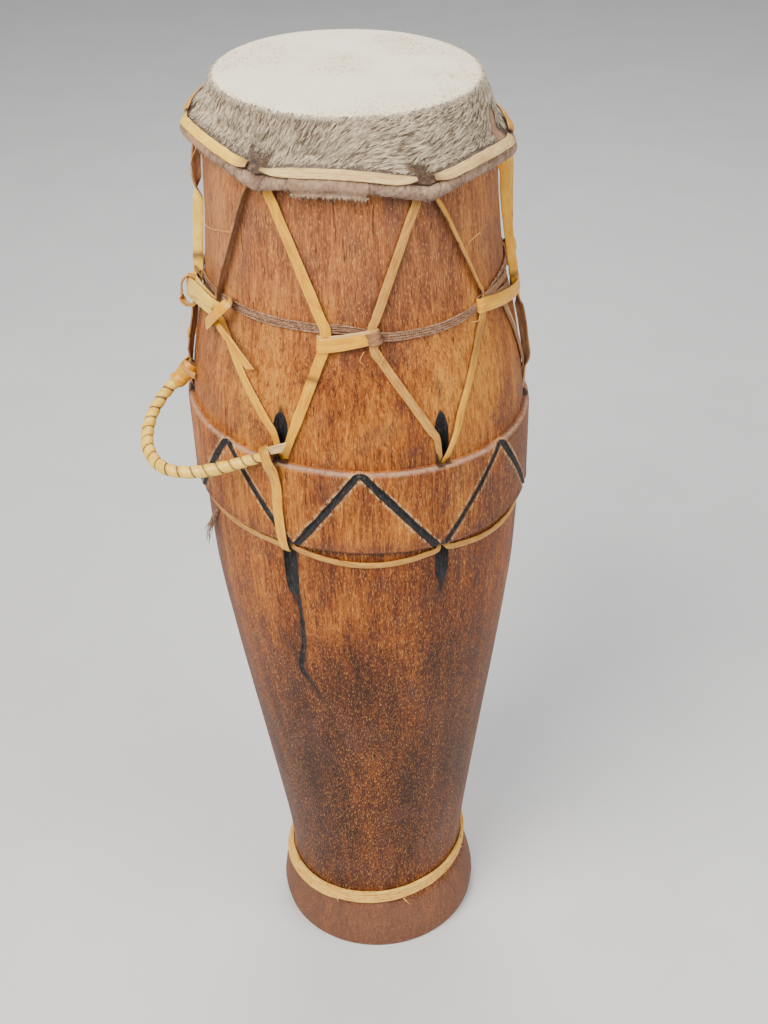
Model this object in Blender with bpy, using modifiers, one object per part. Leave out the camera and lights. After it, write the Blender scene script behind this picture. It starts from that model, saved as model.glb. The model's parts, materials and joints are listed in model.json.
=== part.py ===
# A tall hand drum: one carved wooden shell with a raised collar, a hide head, and a lacing of
# split rattan. It stands on its foot on z = 0, and its front faces -Y.
# Places on the drum are given by an angle round its axis in degrees, 0 at the front and
# positive towards +X, and a height above the floor in metres.

import math

import bmesh
import bpy
from mathutils import Vector

GAP = 0.0003                 # between pieces that touch
SIDES = 42                   # facets round the shell, the hide and the bands

# The shell: its outer radius by height, then the hollow's
FOOT_HEIGHT = 0.044
WAIST_HEIGHT = 0.0525
TOP_HEIGHT = 0.6975
WALL = (
    (0.000, 0.0780), (0.014, 0.0794), (FOOT_HEIGHT, 0.0730), (WAIST_HEIGHT, 0.0699),
    (0.084, 0.0710), (0.140, 0.0781), (0.210, 0.0876), (0.280, 0.0974), (0.350, 0.1060),
    (0.392, 0.1085), (0.424, 0.1092), (0.490, 0.1106), (0.532, 0.1055), (0.574, 0.0967),
    (0.616, 0.0925), (0.651, 0.0905), (0.679, 0.0856), (TOP_HEIGHT, 0.0795),
)
WALL_STATIONS = (
    0.0030, 0.016, 0.032, FOOT_HEIGHT, WAIST_HEIGHT, 0.070, 0.120, 0.180, 0.240, 0.300, 0.350,
    0.390, 0.424, 0.4855, 0.510, 0.536, 0.563, 0.595, 0.635, 0.6575, 0.6950,
)
HOLLOW = (
    (0.000, 0.0620), (WAIST_HEIGHT, 0.0555), (0.140, 0.0635), (0.290, 0.0830),
    (0.420, 0.0945), (0.500, 0.0940), (0.590, 0.0795), (TOP_HEIGHT - 0.002, 0.0690),
)
BEARING_EASE = 0.0025        # the bearing edge and the foot's edge are eased
FOOT_EASE = 0.0005

# The collar: it stands proud of the wall and was carved a little askew
COLLAR_BOTTOM = 0.4238
COLLAR_TOP = 0.4852
COLLAR_RADIUS = 0.1151
COLLAR_EASE = 0.0018
COLLAR_BATTER = 0.0008       # its face leans in a little towards its lower edge
COLLAR_LEAN = -0.066         # rise of the collar for each metre towards +X
HEAD_LEAN = -0.028

# Grooves cut into the collar as a zigzag, seven teeth round the drum
APEX_ANGLES = (-48, -1, 51) + tuple(51 + 52.2 * k for k in (1, 2, 3, 4))
FOOT_ANGLES = (-24, 25, 75, 129, 181.5, 233.7, 289)
GROOVE_RADIUS = 0.0026
GROOVE_OUT = 0.0004          # middle of a groove, outside the collar's face
GROOVE_OVERRUN = 0.0015
GROOVE_STEPS = 4

# Tunnels burnt behind the collar: a scooped arc in, under the collar and out again
TUNNEL_ANGLES = (-27, 27, 86, 149, 211, 274)
TUNNEL_DEPTH_RADIUS = 0.1062
TUNNEL_HALF_THICK = 0.0042
TUNNEL_WIDEN = 1.20
TUNNEL_BEND = 0.77           # outward rise, per metre of height squared
TUNNEL_REACH = 0.088
TUNNEL_STEPS = 8

# The hide and its hoop
HIDE_THICK = 0.0016
HIDE_OFF_WALL = 0.0022       # its outside stays this far off the wood
HIDE_PROFILE = (             # outside, from the middle of the head down to the hoop
    (0.0000, 0.7008), (0.0780, 0.7006), (0.0812, 0.6993), (0.0828, 0.6958),
    (0.0858, 0.6835), (0.0900, 0.6757), (0.0978, 0.6688),
)
HIDE_FOLLOW_FROM = 0.6975    # below this height the hide begins to follow the hoop
HIDE_FOLLOW_ALL = 0.6770     # and below this one it follows it fully
HOOP_HEIGHT = 0.6628
HOOP_RADIUS = 0.0970
HOOP_HALF_THICK = 0.0043
HOOP_LEAN = -0.085
HOOP_DIP = 0.0032            # the lacing pulls the hoop down at its corners
HOOP_CORNER_OUT = 0.0016
CORNER_ANGLES = (-33, 26, 84, 147, 208, 269)
SLOT_HALF = (0.0075, 0.0060, 0.0030)   # slots in the hide: along, through and up
SLOT_ABOVE_HOOP = 0.0105
SLOT_RADIUS = 0.0940
HOOP_INSIDE = 0.0912         # a strand's place between the hoop and the wall
HOOP_STRIP_RADIUS = 0.0953
HOOP_STRIP_ABOVE = 0.0099
HOOP_STRIP_DIP = 0.0080      # its ends turn in towards the slots
HOOP_STRIP_TILT = 48.5
HOOP_STRIP_SHORT = 2.4       # degrees that it stops short of a corner

# The lacing
STRAP_WIDTH = 0.0060
STRAP_THICK = 0.0012
HOOP_STRIP_WIDTH = 0.0070
COLLAR_STRIP_WIDTH = 0.0038
BINDING_WIDTH = 0.0080
BELT_LIFT = 0.0003
BELT_THICK = 0.0015
BELT_HALF_TALL = 0.0027
BOUND_LIFT = 0.0027          # middle of a strand where it crosses the belt
BINDING_OVER = 0.0017        # middle of a binding over the middle of its strands
LOW_LIFT = 0.0011            # middle of a strand that lies on the wall
# Each binding's left strand, then its right: angle, height, how far the strand stands off
BINDINGS = (
    ((-11.5, 0.5690, BOUND_LIFT), (5.0, 0.5695, BOUND_LIFT)),
    ((51.0, 0.5735, BOUND_LIFT), (83.2, 0.5600, 0.0048)),
    ((97.0, 0.5690, 0.0060), (124.0, 0.5700, BOUND_LIFT)),
    ((170.0, 0.5710, BOUND_LIFT), (187.0, 0.5710, BOUND_LIFT)),
    ((230.0, 0.5730, BOUND_LIFT), (247.0, 0.5730, BOUND_LIFT)),
    ((276.3, 0.5700, 0.0040), (302.0, 0.5750, BOUND_LIFT)),
)
# Where the strands of each corner start under the hoop
STRAND_STARTS = ((-39.8, -31.2), (23.4, 31.6), (83.0, 88.5), (143, 151), (204, 212), (265, 274))
OUTER_STRANDS = ("strand_3_right",)
OUTER_START = 0.0982         # such a strand comes down outside the hoop's middle
BELT = (                     # height of the twine belt round the drum
    (-58, 0.5790), (-30, 0.5775), (-3, 0.5770), (9, 0.5705), (30, 0.5695), (47, 0.5715),
    (60, 0.5770), (76, 0.5790), (110, 0.5750), (180, 0.5740), (240, 0.5760), (302, 0.5790),
)
TURNED_STRANDS = ("strand_1_left", "strand_2_right")
STRAND_TURN = 62             # degrees that such a strand stands on its edge
BROWN_STRANDS = ("strand_1_left", "strand_2_right", "strand_3_left", "strand_4_right",
                 "strand_5_left", "strand_6_right")
STRAND_STACK = 0.0016        # one strand lies over the other in a tunnel
HOOP_TUCK = (                # above the hoop's underside, and out from its inside
    (0.0110, 0.0), (0.0040, 0.0), (-0.0030, 0.0010),
)
CLEAR_OF_BINDING = (0.0070, 0.0060)    # a strand bends this far above and below one
ENTRY_ANGLE = 1.1            # where a strand turns into its tunnel: aside and above
ENTRY_ABOVE = 0.0190
STRAND_TUCK = (              # above the tunnel's mouth, and out from its middle
    (0.0060, 0.0020), (-0.0010, 0.0003), (-0.0160, -0.0003),
)
STRAND_END_WIDTHS = (0.78, 0.68, 0.66, 0.66)
COLLAR_STRIP_SAGS = (0.0062, 0.0045, 0.0050, 0.0040, 0.0040, 0.0005)
COLLAR_STRIP_TUCK = (        # above the tunnel's mouth, aside and out from its middle
    (0.0080, 0.0020, 0.0006), (0.0010, 0.0021, 0.0014),
)
COLLAR_STRIP_BEND = ((1.2, 0.0040), (2.6, 0.0062))     # then aside and below, on the wall
COLLAR_STRIP_INSET = 3.0
COLLAR_STRIP_BELOW = 0.0030
COLLAR_STRIP_END_WIDTHS = (0.7, 0.7, 0.85)
BINDING_REACH = 2.9
BINDING_TAIL = ((69.5, 0.5545), (80.6, 0.5140))
BINDING_TAIL_WIDTH = 0.0052
BINDING_END_LIFT = 0.0022

# The handle, its upper end first: angle, distance from the drum's axis, height
HANDLE_ROUTE = (
    (-80.5, 0.1144, 0.5125), (-80.2, 0.1215, 0.5030), (-79.5, 0.1312, 0.4965),
    (-75.2, 0.1405, 0.4900), (-70.0, 0.1475, 0.4850), (-65.0, 0.1520, 0.4815),
    (-60.0, 0.1540, 0.4798), (-55.0, 0.1530, 0.4798), (-51.0, 0.1480, 0.4800),
    (-47.3, 0.1395, 0.4810), (-43.8, 0.1315, 0.4835), (-40.3, 0.1245, 0.4875),
    (-36.8, 0.1196, 0.4925), (-33.0, 0.1173, 0.4957), (-29.5, 0.1164, 0.4965),
)
HANDLE_HALF_THICK = 0.0042
HANDLE_END_HALF_THICK = 0.0031
KNOT_LONG = 0.0095
KNOT_THICK = 0.0013
KNOT_OVER_END = 0.0010
TIE_WIDTH = 0.0068
TIE_ROUTE = (                # from the tunnel's mouth, over the handle and down the collar
    (-31.0, 0.1126, 0.5005), (-30.8, 0.1160, 0.5042), (-30.4, 0.1212, 0.5022),
    (-30.0, 0.1232, 0.4965), (-29.4, 0.1210, 0.4900), (-28.4, 0.1171, 0.4800),
    (-27.3, 0.1163, 0.4600), (-26.4, 0.1162, 0.4420), (-26.0, 0.1160, 0.4290),
    (-26.0, 0.1146, 0.4235), (-26.2, 0.1120, 0.4205),
)

# The raffia band at the waist, tilted the other way
RAFFIA_LEAN = 0.072
RAFFIA_RADIUS = 0.0715
RAFFIA_HALF_TALL = 0.0050
RAFFIA_THICK = 0.0019
RAFFIA_LIFT = 0.0010

# The handle stands out at -X, so the axis is moved to bring the whole drum over the origin
HANDLE_REACH = 0.1419
AXIS_X = (HANDLE_REACH - COLLAR_RADIUS) / 2

for old in list(bpy.data.objects):
    bpy.data.objects.remove(old, do_unlink=True)


def new_collection(name):
    group = bpy.data.collections.new(name)
    bpy.context.scene.collection.children.link(group)
    return group


drum = new_collection("ritual_drum")
cutters = new_collection("cutters")


def finish(name, colour, roughness):
    material = bpy.data.materials.new(name)
    material.use_nodes = True
    shader = material.node_tree.nodes["Principled BSDF"]
    shader.inputs["Base Color"].default_value = (*colour, 1)
    shader.inputs["Roughness"].default_value = roughness
    return material


wood = finish("stained_wood", (0.30, 0.10, 0.032), 0.5)
hide = finish("hide", (0.72, 0.63, 0.50), 0.8)
hoop_hide = finish("rolled_hide", (0.28, 0.20, 0.15), 0.85)
rattan_skin = finish("golden_rattan", (0.72, 0.40, 0.08), 0.4)
rattan_inside = finish("brown_rattan", (0.34, 0.18, 0.08), 0.7)
twine_brown = finish("brown_twine", (0.24, 0.13, 0.07), 0.85)
straw = finish("raffia", (0.78, 0.50, 0.18), 0.7)


def between(value, table):
    # Straight lines between the rows of a table of (value, result)
    for (low, at_low), (high, at_high) in zip(table, table[1:]):
        if value <= high:
            share = max(0.0, (value - low) / (high - low))
            return at_low + (at_high - at_low) * share
    return table[-1][1]


def smooth_between(value, table):
    # A cubic through the rows, whose slope at a row comes from the rows beside it
    last = len(table) - 1
    k = 0
    while k < last - 1 and value > table[k + 1][0]:
        k += 1

    def slope(row):
        before, after = table[max(row - 1, 0)], table[min(row + 1, last)]
        return (after[1] - before[1]) / (after[0] - before[0])

    (low, at_low), (high, at_high) = table[k], table[k + 1]
    span = high - low
    t = min(max((value - low) / span, 0.0), 1.0)
    return ((2 * t**3 - 3 * t**2 + 1) * at_low + (t**3 - 2 * t**2 + t) * span * slope(k)
            + (3 * t**2 - 2 * t**3) * at_high + (t**3 - t**2) * span * slope(k + 1))


# The carved outline that the shell is turned from; everything on the wall is set out from it
wall_outline = [(z, smooth_between(z, WALL)) for z in WALL_STATIONS]
lean_by_height = (
    (0.380, 0.0), (0.420, COLLAR_LEAN), (0.490, COLLAR_LEAN), (0.545, 0.0), (0.610, 0.0),
    (0.690, HEAD_LEAN),
)


def lean(height):
    return between(height, lean_by_height)


def wall_radius(angle, height):
    # Outer radius of the shell where it is cut at this real height, the lean taken off first
    radius = between(height, wall_outline)
    for _ in range(4):
        carved = height - lean(height) * radius * math.sin(math.radians(angle))
        radius = between(carved, wall_outline)
    return radius


def place(angle, radius, height):
    turn = math.radians(angle)
    return Vector((radius * math.sin(turn), -radius * math.cos(turn), height))


def on_wall(angle, height, lift):
    return place(angle, wall_radius(angle, height) + lift, height)


def angle_of(point):
    return math.degrees(math.atan2(point.x, -point.y))


def spread_of(point):
    return math.hypot(point.x, point.y)


def outward(point):
    return Vector((point.x, point.y, 0)).normalized()


def off_wall(point):
    # The way out of the wall's surface, which leans with the outline
    step = 0.004
    angle = angle_of(point)
    rise = wall_radius(angle, point.z + step) - wall_radius(angle, point.z - step)
    return (outward(point) - Vector((0, 0, rise / (2 * step)))).normalized()


def hoop_wave(angle):
    # 1 at a corner of the hoop, -1 midway between two, as along the side of a hexagon
    angle %= 360
    corners = sorted(c % 360 for c in CORNER_ANGLES)
    ring = [corners[-1] - 360, *corners, corners[0] + 360]
    for left, right in zip(ring, ring[1:]):
        if left <= angle <= right:
            half = math.radians(right - left) / 2
            off_middle = math.radians(angle - left) - half
            return 1 - 2 * (math.cos(off_middle) - math.cos(half)) / (1 - math.cos(half))
    return 1.0


def hoop_height(angle):
    across = HOOP_RADIUS * math.sin(math.radians(angle))
    return HOOP_HEIGHT + HOOP_LEAN * across - HOOP_DIP * hoop_wave(angle)


def add_object(name, mesh, material, group=drum):
    thing = bpy.data.objects.new(name, mesh)
    thing.location = (AXIS_X, 0, 0)
    group.objects.link(thing)
    if material:
        mesh.materials.append(material)
        mesh.shade_smooth()
        mesh.set_sharp_from_angle(angle=math.radians(38))
    else:
        thing.hide_render = True
        thing.display_type = "WIRE"
    return thing


def settled_mesh(thing, name):
    # The object's mesh with its modifiers or bevel applied, welded, and the object taken away
    evaluated = thing.evaluated_get(bpy.context.evaluated_depsgraph_get())
    mesh = bpy.data.meshes.new_from_object(evaluated)
    mesh.name = name
    bm = bmesh.new()
    bm.from_mesh(mesh)
    bmesh.ops.remove_doubles(bm, verts=bm.verts, dist=0.00001)
    bm.to_mesh(mesh)
    bm.free()
    bpy.data.objects.remove(thing, do_unlink=True)
    return mesh


def turned(name, outline, closed=True):
    # An outline of (radius, height) turned round the axis
    bm = bmesh.new()
    points = [bm.verts.new((radius, 0, height)) for radius, height in outline]
    for upper, lower in zip(points, points[1:]):
        bm.edges.new((upper, lower))
    if closed:
        bm.edges.new((points[-1], points[0]))
    mesh = bpy.data.meshes.new(name)
    bm.to_mesh(mesh)
    bm.free()
    thing = bpy.data.objects.new(name, mesh)
    drum.objects.link(thing)
    screw = thing.modifiers.new("turn", "SCREW")
    screw.steps = screw.render_steps = SIDES
    screw.use_merge_vertices = True
    screw.merge_threshold = 0.00001
    return settled_mesh(thing, name)


def reshape(mesh, move):
    for vertex in mesh.vertices:
        vertex.co = move(vertex.co.copy())


def rounded_route(points, rounds=2):
    # Neighbouring points pulled together, which eases the corners of a route
    route = list(points)
    for _ in range(rounds):
        route = [route[0]] + [
            (a + 2 * b + c) / 4 for a, b, c in zip(route, route[1:], route[2:])
        ] + [route[-1]]
    return route


def tube(name, points, radius, material=None, group=cutters, sides=2, shares=None):
    curve = bpy.data.curves.new(name, "CURVE")
    curve.dimensions = "3D"
    curve.bevel_depth = radius
    curve.bevel_resolution = sides
    curve.use_fill_caps = True
    spline = curve.splines.new("POLY")
    spline.points.add(len(points) - 1)
    for k, point in enumerate(points):
        spline.points[k].co = (*point, 1)
        spline.points[k].radius = shares[k] if shares else 1
    thing = bpy.data.objects.new(name, curve)
    group.objects.link(thing)
    mesh = settled_mesh(thing, name)
    bpy.data.curves.remove(curve)
    return add_object(name, mesh, material, group)


def cut(thing, cutter):
    step = thing.modifiers.new(cutter.name, "BOOLEAN")
    step.operation = "DIFFERENCE"
    step.object = cutter
    step.solver = "EXACT"


def strip(name, route, width, thick, material, turns=None, upright=False, widths=None,
          hugging=True):
    # A flat strip of rattan bent on to its route. Its face looks off the wall, or is turned
    # round the route; an upright strip keeps its width up the wall, whatever its route does.
    # Widths are shares of the width. A strip that isn't hugging faces straight outwards.
    last = len(route) - 1
    bm = bmesh.new()
    bmesh.ops.create_grid(bm, x_segments=last, y_segments=1, size=0.5)
    for vertex in bm.verts:
        k = round((vertex.co.x + 0.5) * last)
        side_share = 1 if vertex.co.y > 0 else -1
        along = (route[min(k + 1, last)] - route[max(k - 1, 0)]).normalized()
        face = off_wall(route[k]) if hugging else outward(route[k])
        if upright:
            side = Vector((0, 0, 1)) - face * face.z
            side.normalize()
        else:
            side = along.cross(face).normalized()
            if turns:
                face = side.cross(along).normalized()
                angle = math.radians(turns[k])
                side = side * math.cos(angle) + face * math.sin(angle)
        half = width / 2 * (widths[k] if widths else 1)
        vertex.co = route[k] + side * side_share * half
    mesh = bpy.data.meshes.new(name)
    bm.to_mesh(mesh)
    bm.free()
    thing = add_object(name, mesh, material)
    wall = thing.modifiers.new("thickness", "SOLIDIFY")
    wall.thickness = thick
    wall.offset = 0
    return thing


def band(name, height_at, lift, half_tall, thick, material):
    # A flat band round the wall, which keeps its place on the shell's outline
    bm = bmesh.new()
    bmesh.ops.create_cone(bm, cap_ends=False, segments=SIDES, radius1=1, radius2=1, depth=2)
    for vertex in bm.verts:
        angle = angle_of(vertex.co)
        height = height_at(angle) + half_tall * vertex.co.z
        vertex.co = on_wall(angle, height, lift)
    bmesh.ops.recalc_face_normals(bm, faces=bm.faces)
    mesh = bpy.data.meshes.new(name)
    bm.to_mesh(mesh)
    bm.free()
    thing = add_object(name, mesh, material)
    wall = thing.modifiers.new("thickness", "SOLIDIFY")
    wall.thickness = thick
    wall.offset = 1
    wall.use_even_offset = True
    return thing


def taut(start, end, steps, lifts):
    # A strand pulled straight from start to end, and pushed out where the wall bulges
    points = []
    for k in range(steps + 1):
        point = start.lerp(end, k / steps)
        nearest = wall_radius(angle_of(point), point.z) + lifts[k]
        if spread_of(point) < nearest:
            point = place(angle_of(point), nearest, point.z)
        points.append(point)
    return points


def make_body():
    outer = [(radius, height) for height, radius in wall_outline]
    below = [p for p in outer if p[1] <= COLLAR_BOTTOM + 0.001]
    above = [p for p in outer if p[1] >= COLLAR_TOP]
    below[-1] = (below[-1][0], COLLAR_BOTTOM)
    collar = [
        (COLLAR_RADIUS - COLLAR_EASE, COLLAR_BOTTOM),
        (COLLAR_RADIUS - COLLAR_BATTER, COLLAR_BOTTOM + COLLAR_EASE * 1.5),
        (COLLAR_RADIUS, (COLLAR_BOTTOM + COLLAR_TOP) / 2),
        (COLLAR_RADIUS, COLLAR_TOP - COLLAR_EASE),
        (COLLAR_RADIUS - COLLAR_EASE, COLLAR_TOP),
    ]
    foot_edge = (WALL[0][1] - FOOT_EASE, 0.0)
    bearing = (WALL[-1][1] - BEARING_EASE, TOP_HEIGHT)
    hollow = [(radius, height) for height, radius in HOLLOW]
    # Down the outside from the bearing edge, then up the hollow
    outline = [bearing] + above[::-1] + collar[::-1] + below[::-1] + [foot_edge] + hollow
    mesh = turned("drum_body", outline)
    reshape(mesh, lambda p: Vector((p.x, p.y, p.z + lean(p.z) * p.x)))
    body = add_object("drum_body", mesh, wood)

    for number, angle in enumerate(TUNNEL_ANGLES, 1):
        cut(body, tunnel_cutter(f"tunnel_{number}", angle))
    apexes = sorted(a % 360 for a in APEX_ANGLES)
    feet = sorted(a % 360 for a in FOOT_ANGLES)
    for number, apex in enumerate(apexes, 1):
        before = max([f for f in feet if f < apex] or [feet[-1] - 360])
        after = min([f for f in feet if f > apex] or [feet[0] + 360])
        for side, foot in (("left", before), ("right", after)):
            cut(body, groove_cutter(f"groove_{number}_{side}", apex, foot))
    return body


def tunnel_middle(angle, offset):
    # Middle of the tunnel at this height above or below the collar's middle
    height = (COLLAR_BOTTOM + COLLAR_TOP) / 2 + offset
    height += COLLAR_LEAN * COLLAR_RADIUS * math.sin(math.radians(angle))
    return place(angle, TUNNEL_DEPTH_RADIUS + TUNNEL_BEND * offset**2, height)


def tunnel_cutter(name, angle):
    offsets = [TUNNEL_REACH * (2 * k / TUNNEL_STEPS - 1) for k in range(TUNNEL_STEPS + 1)]
    cutter = tube(name, [tunnel_middle(angle, o) for o in offsets], TUNNEL_HALF_THICK)
    across = Vector((math.cos(math.radians(angle)), math.sin(math.radians(angle)), 0))
    widen = TUNNEL_WIDEN - 1
    reshape(cutter.data, lambda p: p + across * p.dot(across) * widen)
    return cutter


def groove_cutter(name, apex, foot):
    points = []
    top, bottom = COLLAR_TOP + GROOVE_OVERRUN, COLLAR_BOTTOM - GROOVE_OVERRUN
    for k in range(GROOVE_STEPS + 1):
        share = k / GROOVE_STEPS
        angle = apex + (foot - apex) * share
        height = top + (bottom - top) * share
        point = place(angle, COLLAR_RADIUS + GROOVE_OUT, height)
        point.z += COLLAR_LEAN * point.x
        points.append(point)
    return tube(name, points, GROOVE_RADIUS, sides=0)


def make_hide():
    mesh = turned("drumhead", HIDE_PROFILE, closed=False)

    def follow(p):
        angle = angle_of(p)
        share = (HIDE_FOLLOW_FROM - p.z) / (HIDE_FOLLOW_FROM - HIDE_FOLLOW_ALL)
        share = min(max(share, 0.0), 1.0)
        share = share * share * (3 - 2 * share)
        rim = HEAD_LEAN * p.x
        edge = hoop_height(angle) - HOOP_HEIGHT
        p.z += rim * (1 - share) + edge * share
        if share == 0.0:
            return p
        radius = spread_of(p) + HOOP_CORNER_OUT * hoop_wave(angle) * share
        return place(angle, max(radius, wall_radius(angle, p.z) + HIDE_OFF_WALL), p.z)

    reshape(mesh, follow)
    head = add_object("drumhead", mesh, hide)
    wall = head.modifiers.new("wall", "SOLIDIFY")
    wall.thickness = HIDE_THICK
    wall.offset = -1
    wall.use_even_offset = True
    for number, angle in enumerate(CORNER_ANGLES, 1):
        cut(head, slot_cutter(f"slot_{number}", angle))
    return head


def slot_cutter(name, angle):
    bm = bmesh.new()
    bmesh.ops.create_icosphere(bm, subdivisions=1, radius=1)
    along, through, up = SLOT_HALF
    middle = place(angle, SLOT_RADIUS, hoop_height(angle) + SLOT_ABOVE_HOOP)
    out = outward(middle)
    across = Vector((out.y, -out.x, 0))
    for vertex in bm.verts:
        x, y, z = vertex.co
        vertex.co = middle + across * x * along + out * y * through + Vector((0, 0, z * up))
    mesh = bpy.data.meshes.new(name)
    bm.to_mesh(mesh)
    bm.free()
    return add_object(name, mesh, None, cutters)


def make_hoop():
    bpy.ops.mesh.primitive_torus_add(
        major_radius=HOOP_RADIUS, minor_radius=HOOP_HALF_THICK, major_segments=SIDES,
        minor_segments=8)
    made = bpy.context.object
    mesh = made.data
    mesh.name = "hoop"
    bpy.data.objects.remove(made, do_unlink=True)

    def wave(p):
        angle = angle_of(p)
        p.z += hoop_height(angle)
        return p + outward(p) * HOOP_CORNER_OUT * hoop_wave(angle)

    reshape(mesh, wave)
    return add_object("hoop", mesh, hoop_hide)


def make_hoop_strips():
    # Each lies on the flare of the hide, just above the hoop, and ends in two slots
    steps = 9
    for number, left in enumerate(CORNER_ANGLES, 1):
        right = CORNER_ANGLES[number % 6]
        right += 360 if right < left else 0
        route = []
        for k in range(steps + 1):
            angle = left + HOOP_STRIP_SHORT
            angle += (right - left - 2 * HOOP_STRIP_SHORT) * k / steps
            dip = max(0.0, abs(2 * k / steps - 1) - 0.8) * HOOP_STRIP_DIP
            radius = HOOP_STRIP_RADIUS + HOOP_CORNER_OUT * hoop_wave(angle) - dip
            height = hoop_height(angle) + HOOP_STRIP_ABOVE + dip
            route.append(place(angle, radius, height))
        turns = [HOOP_STRIP_TILT] * len(route)
        widths = [1 - 0.5 * abs(2 * k / steps - 1) ** 6 for k in range(steps + 1)]
        strip(f"hoop_strip_{number}", route, HOOP_STRIP_WIDTH, STRAP_THICK, rattan_skin,
              turns=turns, widths=widths, hugging=False)


def near(angle, reference):
    # The same angle, written within half a turn of the reference
    return reference + (angle - reference + 180) % 360 - 180


def tunnel_mouth(angle, top=True):
    # Height of the collar's edge over this tunnel, and the tunnel's middle there
    edge = COLLAR_TOP if top else COLLAR_BOTTOM
    return edge + COLLAR_LEAN * COLLAR_RADIUS * math.sin(math.radians(angle))


def in_tunnel(angle, height, aside, outer):
    # A point inside a tunnel: aside of its middle, and further out than it
    middle = (COLLAR_BOTTOM + COLLAR_TOP) / 2
    middle += COLLAR_LEAN * COLLAR_RADIUS * math.sin(math.radians(angle))
    point = tunnel_middle(angle, height - middle)
    radius = spread_of(point) + outer
    return place(angle + math.degrees(aside / radius), radius, height)


def make_strands():
    # From inside the hoop, down to a binding, and back over the wall into a tunnel
    half = STRAP_WIDTH / 2
    for number, (corner, tunnel) in enumerate(zip(CORNER_ANGLES, TUNNEL_ANGLES), 1):
        for side, sign in (("left", -1), ("right", 1)):
            name = f"strand_{number}_{side}"
            bound, height, lift = BINDINGS[number - 2][1] if sign < 0 else BINDINGS[number - 1][0]
            bound = near(bound, corner)
            start = near(STRAND_STARTS[number - 1][0 if sign < 0 else 1], corner)
            under_hoop = hoop_height(start) - HOOP_HALF_THICK
            if name in OUTER_STRANDS:
                top = [place(start, OUTER_START, under_hoop - GAP - half / 4)]
            else:
                top = [place(start, HOOP_INSIDE + out, under_hoop + up) for up, out in HOOP_TUCK]
            upper = on_wall(bound, height + CLEAR_OF_BINDING[0], lift)
            lower = on_wall(bound, height - CLEAR_OF_BINDING[1], lift)
            steps = 5
            turns = [0] * len(top)
            lifts = []
            for k in range(1, steps + 1):
                turn = STRAND_TURN * math.sin(math.pi * k / steps) ** 0.6
                turns.append(sign * turn if name in TURNED_STRANDS else 0)
                stand = math.radians(turns[-1])
                lifts.append(GAP + abs(half * math.sin(stand)) + STRAP_THICK * math.cos(stand) / 2)
            free = taut(top[-1], upper, steps, [lifts[0]] + lifts)[1:]
            mouth = tunnel_mouth(tunnel)
            over = STRAND_STACK if sign > 0 else 0.0
            entry = on_wall(tunnel + sign * ENTRY_ANGLE, mouth + ENTRY_ABOVE, LOW_LIFT + over)
            inside = [in_tunnel(tunnel, mouth + up, 0.0, out + over) for up, out in STRAND_TUCK]
            back = taut(lower, entry, steps, [LOW_LIFT] * (steps + 1))[1:]
            route = top + free + [lower] + back + inside
            turns += [0] * (len(route) - len(turns))
            widths = [1.0] * (len(route) - len(STRAND_END_WIDTHS)) + list(STRAND_END_WIDTHS)
            inner_face = name in BROWN_STRANDS
            strip(name, route, STRAP_WIDTH, STRAP_THICK,
                  rattan_inside if inner_face else rattan_skin, turns=turns, widths=widths)


def make_collar_strips():
    # Out of one tunnel, along under the collar and into the next
    steps = 7
    half = COLLAR_STRIP_WIDTH / 2
    for number, left in enumerate(TUNNEL_ANGLES, 1):
        right = near(TUNNEL_ANGLES[number % 6], left + 60)
        ends = []
        for tunnel, sign in ((left, 1), (right, -1)):
            edge = tunnel_mouth(tunnel, top=False)
            end = [in_tunnel(tunnel, edge + up, sign * aside, out)
                   for up, aside, out in COLLAR_STRIP_TUCK]
            end += [on_wall(tunnel + sign * aside, edge - down, LOW_LIFT)
                    for aside, down in COLLAR_STRIP_BEND]
            ends.append(end)
        run = []
        for k in range(1, steps):
            share = k / steps
            angle = left + COLLAR_STRIP_INSET + (right - left - 2 * COLLAR_STRIP_INSET) * share
            edge = tunnel_mouth(angle, top=False)
            sag = COLLAR_STRIP_SAGS[number - 1] * 4 * share * (1 - share)
            below = COLLAR_STRIP_BELOW + half + sag
            run.append(on_wall(angle, edge - below, LOW_LIFT))
        route = ends[0] + run + ends[1][::-1]
        narrow = list(COLLAR_STRIP_END_WIDTHS)
        widths = narrow + [1.0] * (len(route) - 2 * len(narrow)) + narrow[::-1]
        strip(f"collar_strip_{number}", route, COLLAR_STRIP_WIDTH, STRAP_THICK, rattan_skin,
              widths=widths)


def make_bindings():
    # A strip laid over two strands, with its ends turned in beside them
    steps = 7
    for number, (left, right) in enumerate(BINDINGS, 1):
        first, last = left[0] - BINDING_REACH, right[0] + BINDING_REACH
        route = [on_wall(first, left[1], BINDING_END_LIFT)]
        for k in range(steps + 1):
            share = k / steps
            height = left[1] + (right[1] - left[1]) * share
            towards_right = min(max((share - 0.2) / 0.6, 0.0), 1.0)
            lift = left[2] + (right[2] - left[2]) * towards_right + BINDING_OVER
            route.append(on_wall(first + (last - first) * share, height, lift))
        route.append(on_wall(last, right[1], BINDING_END_LIFT))
        strip(f"binding_{number}", route, BINDING_WIDTH, STRAP_THICK, rattan_skin, upright=True)
    # The end of the second one's strip runs on, down under the strand beside it
    start, end = (on_wall(angle, height, LOW_LIFT) for angle, height in BINDING_TAIL)
    strip("binding_2_tail", taut(start, end, steps, [LOW_LIFT] * (steps + 1)), BINDING_TAIL_WIDTH,
          STRAP_THICK, rattan_inside)


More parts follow.
